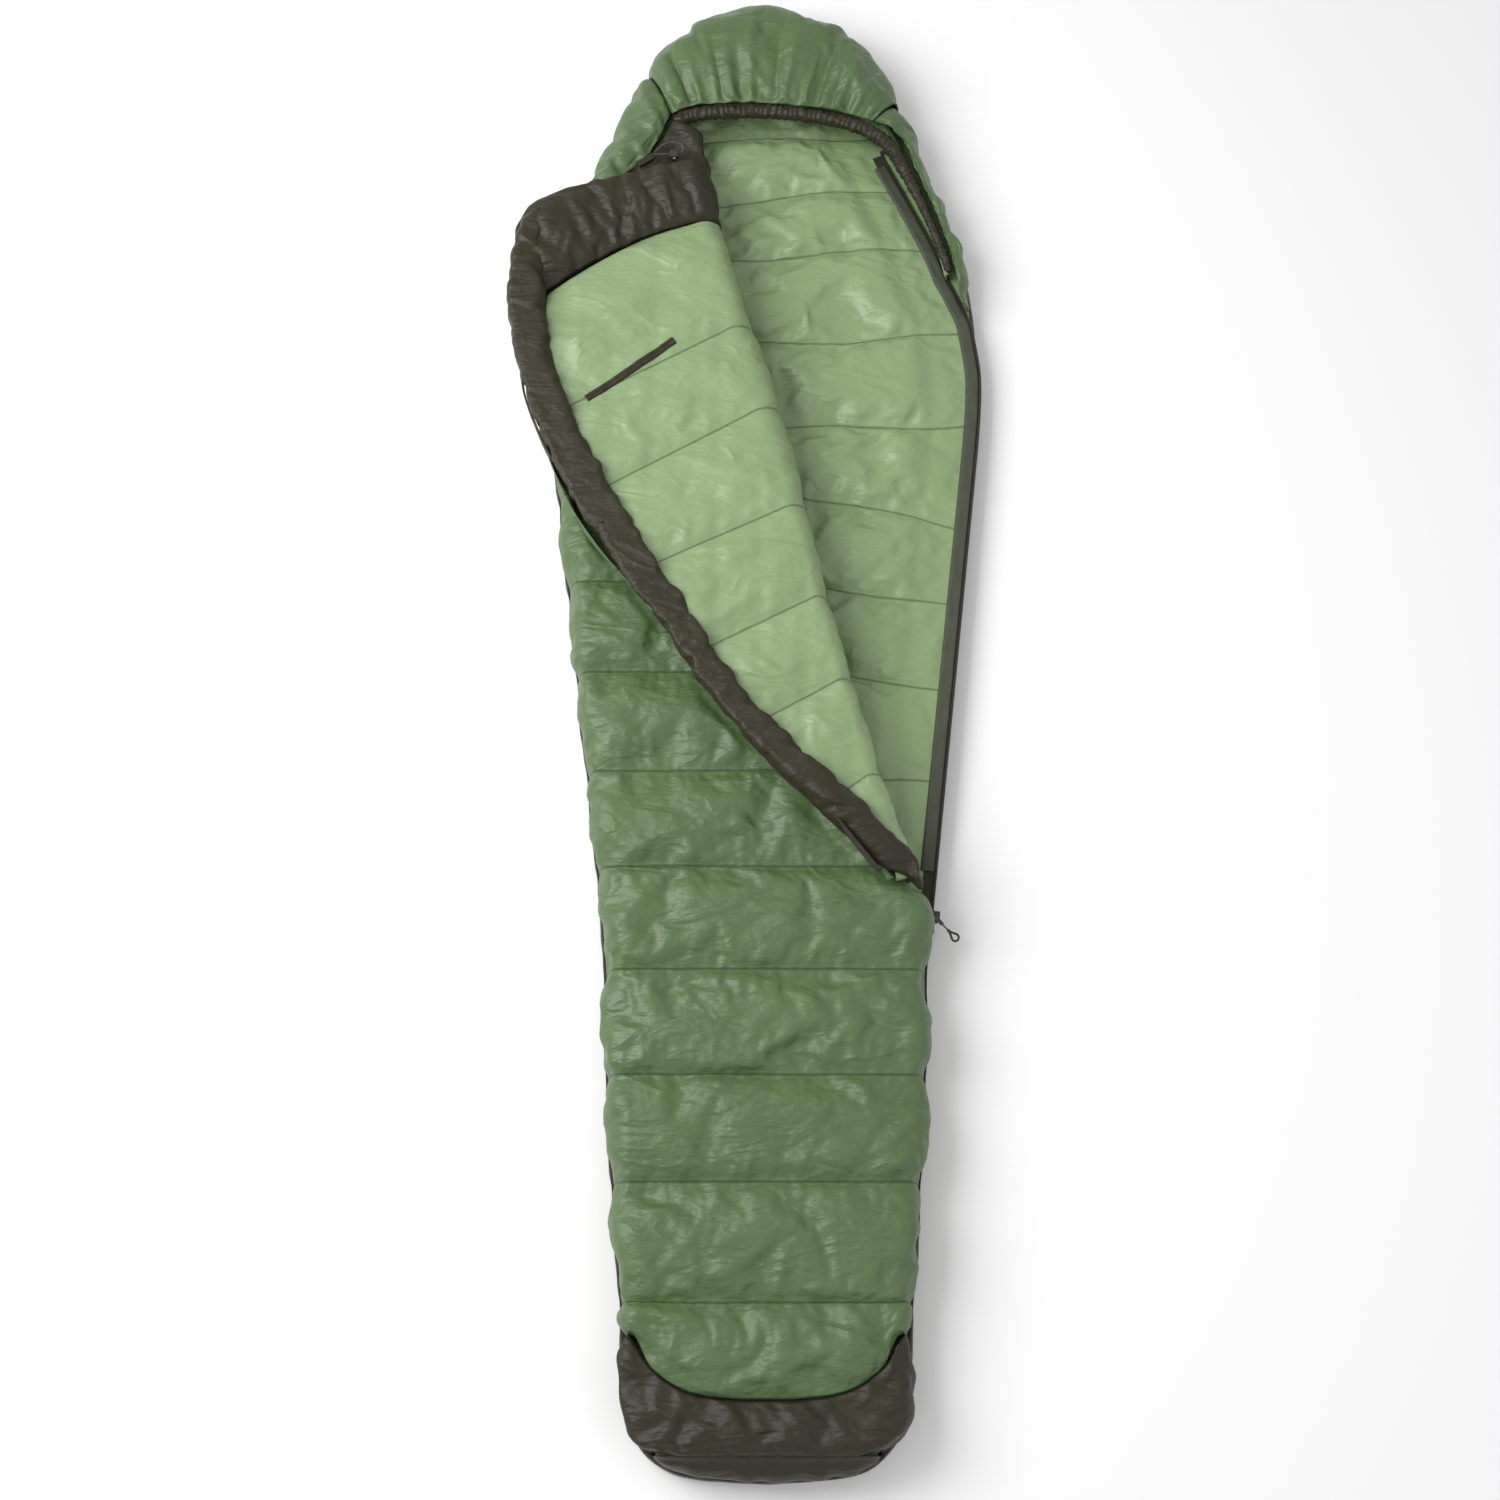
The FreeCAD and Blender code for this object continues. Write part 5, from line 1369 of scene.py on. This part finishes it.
class SLEEPINGBAG_OT_flap_collar(BagOperator, bpy.types.Operator):
    """The puffy brown collar across the flap's neck end"""
    bl_idname = "sleepingbag.flap_collar"
    bl_label = "Flap collar"

    def execute(self, context):
        sizes = context.scene.quilt_sizes
        border = table([(-0.30, 0.925), (-0.250, 0.950), (-0.164, 0.981), (-0.087, 0.998), (0.0, 1.000),
                        (0.05, 1.0)])
        neck = table([(-0.275, 1.012), (-0.262, 1.040), (-0.245, 1.062), (-0.215, 1.079), (-0.180, 1.086),
                      (-0.100, 1.0875), (0.0, 1.088), (0.05, 1.088)])
        s_top = np.linspace(-0.270, -FOLD_BACK, 50)[None, :]
        bend = fold_columns(14)[None, :]
        rows = np.linspace(0, 1, 18)
        wraps = np.linspace(0, 1, 8)[1:]
        place = []
        for v in rows:
            t = border(s_top) * (1 - v) + neck(s_top) * v
            shape = math.sin(math.pi * 0.82 * v) ** 0.6 if v > 0 else 0.0
            z = 0.1170 + (sizes.collar_high + 0.0045) * shape + 0 * s_top
            place.append(self.curl(s_top, t, z, bend, 0.0))
        drop = z[0, 0] - 0.0940
        for wrap in wraps:
            angle = wrap * math.pi / 2
            down = z - drop * (1 - math.cos(angle)) ** 0.8
            out = t + 0.006 * math.sin(angle * 1.6)
            place.append(self.curl(s_top, out, down, bend, wrap))
        place = np.array(place)
        steps = run_along(place)
        s_all, t_all = fold_st(place[..., 0], place[..., 1])
        tall = np.r_[rows, 1 + wraps * 0.4][:, None]
        folds = ripple(s_all + 0.25 * tall * 0.05, tall * 0.012, 131, 0.020)
        folds = folds + 0.5 * ripple(s_all, tall * 0.01, 132, 0.010)
        strong = np.exp(-np.abs(tall - 1.0) / 0.5) + 0.7 * np.exp(-tall / 0.25)
        pull = 0.0019 * folds * strong * np.clip(tall / 0.06, 0, 1)
        long_folds = creases(s_all, t_all, 133, 46, (-0.27, 0.97), (0.02, 1.09), tilt=1.35, spread=0.35,
                             length=0.035, width=0.005)
        pull = pull + 0.0050 * np.clip(tall / 0.2, 0, 1) * long_folds
        place = outward_offset(place, pull * np.ones(place.shape[:2]))
        piece = grid_piece("flap_neck_collar", place, tall * 0.08 + 0 * steps, steps)
        held = held_points(place, [0, -1], 1, 1)

        def limit(settled):
            settled[:, 2] = np.clip(settled[:, 2], 0.055, COLLAR_LIMIT_Z)
            return settled

        settle(piece, held.ravel(), grow=0.11, pressure=0.5, frames=18, reach=0.008, bend=0.3, limit=limit)
        finish_cloth(piece, brown_stitched(), None,
                     ("flap_collar_shell", "flap_collar_insulation"))
        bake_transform(piece)
        return {"FINISHED"}

    def curl(self, s, t, z, bend, closing):
        """One row across the collar and over the fold; closing shrinks the roll at the neck end."""
        x, y = fold_xy(s, t)
        face = np.stack([x[0], y[0], z[0]], 1)
        reach = float(fold_reach(t[0, -1])) + FOLD_BACK
        roll_top = 0.1355
        top = z[0, -1] if closing else min(z[0, -1], roll_top)
        size = 1.0 - 0.85 * closing
        middle, high = (top + ROOF_LOW) / 2, (top - ROOF_LOW) / 2
        ds = -FOLD_BACK + reach * np.sin(bend) ** 0.9 * size
        dz = middle + high * np.cos(bend)
        x, y = fold_xy(ds, np.full(ds.shape, t[0, -1]))
        curl = np.stack([x[0], y[0], dz[0]], 1)
        curl[0, 2] = min(curl[0, 2], face[-1, 2])
        return np.vstack([face, curl])


class SLEEPINGBAG_OT_draft_tube(BagOperator, bpy.types.Operator):
    """The puffy brown draft tube along the flap's zip"""
    bl_idname = "sleepingbag.draft_tube"
    bl_label = "Draft tube"

    def execute(self, context):
        join = 0.600
        lower = self.length(context, "draft_tube_lower", 0.001, join, 141, ("draft_tube_shell",))
        edge_dir = np.array([zip_edge(0.5) - zip_edge(0.1), 0.4])
        edge_dir /= np.linalg.norm(edge_dir)
        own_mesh(lower)
        upper = self.length(context, "draft_tube_upper", join - 0.034, 1.080, 151, ("draft_tube_insulation",))
        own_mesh(upper)
        return {"FINISHED"}

    def length(self, context, name, low, high, seed, replaced):
        """One length of the tube, from low to high along the fold line's direction."""
        sizes = context.scene.quilt_sizes
        count = int((high - low) / 0.0062)
        t = np.linspace(low, high, count)
        middle, half = (band_inner(t) + band_outer(t)) / 2, (band_inner(t) - band_outer(t)) / 2
        angle = np.linspace(0, 2 * math.pi, 25)[None, :]
        c, s = np.cos(angle), np.sin(angle)
        taper = np.sqrt(np.clip(np.minimum((t - low + 0.002) / 0.010, (high + 0.002 - t) / 0.018), 0.02, 1))
        rise = flap_rise(t)[:, None]
        high_z = (sizes.tube_high * (0.45 + 0.55 * smooth(t, 0.0, 0.12)))[:, None]
        deep = 0.016 * np.maximum(-c, 0.0) ** 1.2 + 0.001
        z = rise - 0.002 + np.where(s > 0, high_z * np.abs(s) ** 0.80, -deep * np.abs(s) ** 0.7)
        width = half[:, None] * np.sign(c) * np.abs(c) ** 0.86
        z = rise + (z - rise) * taper[:, None]
        line = middle[:, None] + width * taper[:, None]
        run = t[:, None] * 1.08
        folds = ripple(run + 0.010 * s, c * 0.008, seed, 0.020)
        folds = folds + 0.7 * ripple(run - 0.01 * s, c * 0.006, seed + 1, 0.011)
        lumps = ripple(run, c * 0.01, seed + 2, 0.055)
        x, y = fold_xy(line, t[:, None] + 0 * line - 0.10 * (line - middle[:, None]))
        place = np.stack([x, y, z], 2)
        drag = creases(run, c * 0.022, seed + 3, int(90 * (high - low)), (low, -0.02), (high, 0.02),
                       tilt=0.7, spread=0.4, length=0.035, width=0.004)
        folds = folds + 2.8 * drag
        pull = (0.0013 * folds + 0.0016 * lumps) * np.clip(s + 0.35, 0.0, 1.0) * taper[:, None]
        place = outward_offset(place, pull, flip=True)
        place[:, -1] = place[:, 0]
        piece = grid_piece(name, place, close=True, flip=True)
        points = read_points(piece)
        start_s, start_t = fold_st(points[:, 0], points[:, 1])
        inner_half = start_s > (band_inner(start_t) + band_outer(start_t)) / 2
        held = (points[:, 2] < flap_rise(start_t) - 0.0015) & inner_half
        held |= (start_t < low + 0.006) | (start_t > high - 0.006)

        def limit(settled):
            settled[:, 2] = np.clip(settled[:, 2], 0.0925, TUBE_LIMIT_Z)
            return settled

        settle(piece, held, grow=0.13, pressure=0.8, frames=18, reach=0.006, bend=0.2, limit=limit)
        finish_cloth(piece, brown_cloth(), "flap", replaced)
        return piece


# ---- zip, cords and fittings ---------------------------------------------------------------
COIL_INSET = [(-0.40, -0.004), (0.328, -0.004), (0.450, -0.003), (0.529, 0.003), (0.600, 0.023),
              (0.663, 0.0295), (0.716, 0.036), (0.800, 0.048)]


def zip_line(low, high, inset, count):
    """Plan points along the base's zip, inset to the bag's inside."""
    right = RING[(RING[:, 0] > 0) & (RING[:, 1] > -0.5) & (RING[:, 1] < 0.95)]
    right = right[np.argsort(right[:, 1])]
    y = np.linspace(low, high, count)
    edge = np.column_stack([np.interp(y, right[:, 1], right[:, 0]), y])
    away = np.interp(y, *np.array(COIL_INSET).T) + inset
    return edge + inward(edge) * away[:, None]


def zip_teeth(name, line, height, body, node, pitch):
    """A row of coil teeth along a line: one tooth repeated and bent along it."""
    bm = bmesh.new()
    bmesh.ops.create_cube(bm, size=1.0)
    bmesh.ops.scale(bm, verts=bm.verts, vec=(pitch * 0.62, 0.0032, 0.0026))
    bmesh.ops.bevel(bm, geom=bm.edges[:], offset=0.00035, affect="EDGES", segments=1, profile=0.5,
                    material=-1)
    bmesh.ops.rotate(bm, verts=bm.verts, cent=(0, 0, 0), matrix=Matrix.Rotation(0.3, 3, "Z"))
    mesh = bpy.data.meshes.new(name)
    bm.to_mesh(mesh)
    bm.free()
    tooth = bpy.data.objects.new(name, mesh)
    bpy.context.scene.collection.objects.link(tooth)
    path = bpy.data.curves.new(name + "_path", "CURVE")
    path.dimensions = "3D"
    spline = path.splines.new("POLY")
    spline.points.add(len(line) - 1)
    for point, (x, y) in zip(spline.points, line):
        point.co = (x, y, height, 1.0)
    guide = bpy.data.objects.new(name + "_path", path)
    bpy.context.scene.collection.objects.link(guide)
    total = np.linalg.norm(np.diff(line, axis=0), axis=1).sum()
    rows = tooth.modifiers.new("Row", "ARRAY")
    rows.count = int(total / pitch)
    rows.use_relative_offset = False
    rows.use_constant_offset = True
    rows.constant_offset_displace = (pitch, 0.0, 0.0)
    along = tooth.modifiers.new("Along", "CURVE")
    along.object = guide
    along.deform_axis = "POS_X"
    bpy.context.view_layer.update()
    made = bpy.data.meshes.new_from_object(tooth.evaluated_get(bpy.context.evaluated_depsgraph_get()))
    tooth.modifiers.clear()
    tooth.data = made
    bpy.data.objects.remove(guide)
    made.materials.append(hard_material("Coil nylon", (0.050, 0.040, 0.030, 1.0), 0.38))
    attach(tooth, body)
    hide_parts(node)


class SLEEPINGBAG_OT_zip(BagOperator, bpy.types.Operator):
    """Zip facing, tapes, teeth and stops"""
    bl_idname = "sleepingbag.zip"
    bl_label = "Zip"

    def execute(self, context):
        sizes = context.scene.quilt_sizes
        box_low, box_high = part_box("base_zip_facing")
        count = 520
        insets = np.array([0.0026, 0.0032, 0.0070, 0.0110, 0.0150, 0.0185, 0.0205])
        lines = [zip_line(box_low.y + 0.002, box_high.y - 0.002, value, count) for value in insets]
        place = np.zeros((len(insets), count, 3))
        run = np.linspace(0, 1.14, count)
        fold = np.abs(np.sin(math.pi * (run + 0.004 * ripple(run, run * 0, 161, 0.2)) / 0.0225)) ** 0.22
        for i, line in enumerate(lines):
            place[i, :, :2] = line
            place[i, :, 2] = 0.0332 + 0.0012 * fold * (0.3 + 0.7 * (i > 0))
            place[i, :, 2] += 0.0006 * ripple(run, run * 0 + i * 0.01, 162, 0.05)
        place[0, :, 2] -= 0.0012
        place[-1, :, 2] = 0.0318
        seam = np.abs(insets - 0.0175)[:, None] + 0 * place[..., 0]
        piece = grid_piece("zip_facing", place.transpose(1, 0, 2)[:, ::-1], seam.T[:, ::-1],
                           run[:, None] + 0 * seam.T)
        finish_cloth(piece, facing_cloth(), "bag", ("base_zip_facing",),
                     thick=0.0008)
        low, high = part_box("base_zip_coil")
        line = zip_line(low.y + 0.001, high.y, 0.0, 400)
        zip_teeth("base_teeth", line, 0.0331, "bag", "base_zip_coil", sizes.tooth)
        t = np.linspace(0.034, 0.983, 300)
        x, y = fold_xy(zip_edge(t) - 0.0026, t)
        zip_teeth("flap_teeth", np.column_stack([x, y]), 0.1345, "flap", "flap_zip_coil", sizes.tooth)
        nodes = frame["nodes"]
        for name in ("base_zip_tape", "flap_zip_tape"):
            dress(nodes[name], tape_cloth())
        for name in ("zip_bottom_stop", "zip_top_stop", "flap_zip_stop"):
            dress(nodes[name], hard_material("Stop plastic", (0.050, 0.042, 0.032, 1.0), 0.42))
        for name in ("crown_piping", "side_seam_binding"):
            dress(nodes[name], binding_cloth())
        return {"FINISHED"}


def dress(node, material):
    """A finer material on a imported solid."""
    node.data.materials.clear()
    node.data.materials.append(material)


def cord_curve(name, points, diameter):
    curve = bpy.data.curves.new(name, "CURVE")
    curve.dimensions = "3D"
    curve.bevel_depth = diameter / 2
    curve.bevel_resolution = 5
    curve.resolution_u = 14
    curve.use_fill_caps = True
    spline = curve.splines.new("NURBS")
    spline.points.add(len(points) - 1)
    for point, place in zip(spline.points, points):
        point.co = (*place, 1.0)
    spline.order_u = 3
    spline.use_endpoint_u = True
    cord = bpy.data.objects.new(name, curve)
    bpy.context.scene.collection.objects.link(cord)
    curve.materials.append(cord_braid())
    return cord


class SLEEPINGBAG_OT_cords(BagOperator, bpy.types.Operator):
    """The drawcord's loop and the thin cord along the neck seam"""
    bl_idname = "sleepingbag.cords"
    bl_label = "Cords"

    def execute(self, context):
        loop_z = 0.0961
        loop = [(-0.158, 0.764, loop_z), (-0.119, 0.764, loop_z), (-0.114, 0.7727, loop_z + 0.0006),
                (-0.119, 0.7814, loop_z + 0.0012), (-0.135, 0.785, loop_z), (-0.148, 0.779, loop_z - 0.0018),
                (-0.156, 0.770, loop_z - 0.0026)]
        cord = cord_curve("drawcord_loop_cord", loop, 0.0025)
        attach(cord, "bag")
        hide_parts("drawcord_loop")
        deck = 0.0906
        route = [(-0.183, 0.748, deck + 0.0014), (-0.194, 0.7395, deck + 0.0016),
                 (-0.205, 0.729, deck + 0.0014), (-0.215, 0.7175, deck + 0.0014),
                 (-0.226, 0.708, deck + 0.0016)]
        cord = cord_curve("neck_seam_cord", route, 0.0020)
        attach(cord, "bag")
        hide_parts("neck_cord")
        return {"FINISHED"}


class SLEEPINGBAG_OT_fittings(BagOperator, bpy.types.Operator):
    """Finishes for the slider, pull, cord lock, eyelet and tab"""
    bl_idname = "sleepingbag.fittings"
    bl_label = "Fittings"

    def execute(self, context):
        colours = context.scene.cloth_colours
        nodes = frame["nodes"]
        enamel = hard_material("Slider enamel", tuple(colours.metal), 0.34, metallic=0.55, coat=0.2, wear=0.5)
        plastic = hard_material("Moulded plastic", tuple(colours.plastic), 0.42)
        steel = hard_material("Spring steel", (0.55, 0.55, 0.55, 1.0), 0.28, metallic=1.0)
        for name in ("slider_body", "pull_tab", "drawcord_eyelet"):
            dress(nodes[name], enamel)
        for name in ("pull_loop", "cord_lock_body", "cord_lock_button"):
            dress(nodes[name], plastic)
        dress(nodes["cord_lock_spring"], steel)
        for name in ("pull_cord", "hood_drawcord"):
            dress(nodes[name], cord_braid())
        dress(nodes["cord_anchor_tab"], binding_cloth())
        return {"FINISHED"}


class SLEEPINGBAG_OT_stage(BagOperator, bpy.types.Operator):
    """Floor, soft lights and camera"""
    bl_idname = "sleepingbag.stage"
    bl_label = "Stage"

    def execute(self, context):
        scene = context.scene
        sizes = scene.stage_sizes
        scene.view_settings.view_transform = "Standard"
        scene.view_settings.look = "None"
        bm = bmesh.new()
        bmesh.ops.create_grid(bm, x_segments=1, y_segments=1, size=12.0)
        bmesh.ops.translate(bm, verts=bm.verts, vec=(0, 0, -0.0006))
        mesh = bpy.data.meshes.new("floor")
        bm.to_mesh(mesh)
        bm.free()
        floor = bpy.data.objects.new("floor", mesh)
        scene.collection.objects.link(floor)
        material, _, surface = new_material("Pale floor")
        surface.inputs["Base Color"].default_value = (0.93, 0.93, 0.93, 1.0)
        surface.inputs["Roughness"].default_value = 0.9
        surface.inputs["Specular IOR Level"].default_value = 0.1
        mesh.materials.append(material)
        world = bpy.data.worlds.new("Studio")
        world.use_nodes = True
        scene.world = world
        sky = world.node_tree.nodes["Background"]
        sky.inputs["Color"].default_value = (1.0, 1.0, 1.0, 1.0)
        sky.inputs["Strength"].default_value = sizes.sky
        lights = (("key", (-1.7, 0.25, 2.0), 1.8, sizes.key_power, (0.0, 0.05, 0.0)),
                  ("fill", (1.9, -1.5, 2.0), 2.2, sizes.fill_power, (0.0, 0.0, 0.0)))
        for name, spot, size, power, aim in lights:
            lamp = bpy.data.lights.new(name, "AREA")
            lamp.shape = "SQUARE"
            lamp.size = size
            lamp.energy = power
            holder = bpy.data.objects.new(name, lamp)
            holder.location = spot
            holder.rotation_mode = "QUATERNION"
            holder.rotation_quaternion = (Vector(aim) - Vector(spot)).to_track_quat("-Z", "Y")
            scene.collection.objects.link(holder)
        lens = bpy.data.cameras.new("camera")
        lens.lens = 51.65
        lens.sensor_width = 36.0
        lens.clip_start = 0.05
        lens.clip_end = 60.0
        camera = bpy.data.objects.new("camera", lens)
        aim = Vector((-0.020, -0.100, 0.0))
        back = Vector((0.0, -math.cos(sizes.elevation), math.sin(sizes.elevation)))
        camera.location = aim + back * sizes.distance
        camera.rotation_mode = "QUATERNION"
        camera.rotation_quaternion = (-back).to_track_quat("-Z", "Y")
        scene.collection.objects.link(camera)
        scene.camera = camera
        return {"FINISHED"}


OPERATORS = [SLEEPINGBAG_OT_base, SLEEPINGBAG_OT_top_quilt, SLEEPINGBAG_OT_foot, SLEEPINGBAG_OT_hood,
             SLEEPINGBAG_OT_neck, SLEEPINGBAG_OT_flap_lining, SLEEPINGBAG_OT_flap_shell,
             SLEEPINGBAG_OT_flap_collar, SLEEPINGBAG_OT_draft_tube, SLEEPINGBAG_OT_zip,
             SLEEPINGBAG_OT_cords, SLEEPINGBAG_OT_fittings, SLEEPINGBAG_OT_stage]


class SLEEPINGBAG_PT_panel(bpy.types.Panel):
    """Lists the sleeping bag's pieces and settings"""
    bl_idname = "SLEEPINGBAG_PT_panel"
    bl_label = "Sleeping bag"
    bl_space_type = "VIEW_3D"
    bl_region_type = "UI"
    bl_category = "Sleeping bag"

    def draw(self, context):
        for group in ("cloth_colours", "quilt_sizes", "stage_sizes"):
            holder = getattr(context.scene, group)
            for key in holder.bl_rna.properties.keys():
                if key not in ("rna_type", "name"):
                    self.layout.prop(holder, key)
        for operator in OPERATORS:
            self.layout.operator(operator.bl_idname)


GROUPS = {"cloth_colours": ClothColours, "quilt_sizes": QuiltSizes, "stage_sizes": StageSizes}


def register():
    for kind in [*GROUPS.values(), *OPERATORS, SLEEPINGBAG_PT_panel]:
        bpy.utils.register_class(kind)
    for key, kind in GROUPS.items():
        setattr(bpy.types.Scene, key, bpy.props.PointerProperty(type=kind))


def unregister():
    for key in GROUPS:
        delattr(bpy.types.Scene, key)
    for kind in [SLEEPINGBAG_PT_panel, *OPERATORS[::-1], *GROUPS.values()]:
        bpy.utils.unregister_class(kind)


def main():
    register()
    for operator in OPERATORS:
        group, name = operator.bl_idname.split(".")
        getattr(getattr(bpy.ops, group), name)()


if __name__ == "__main__":
    main()
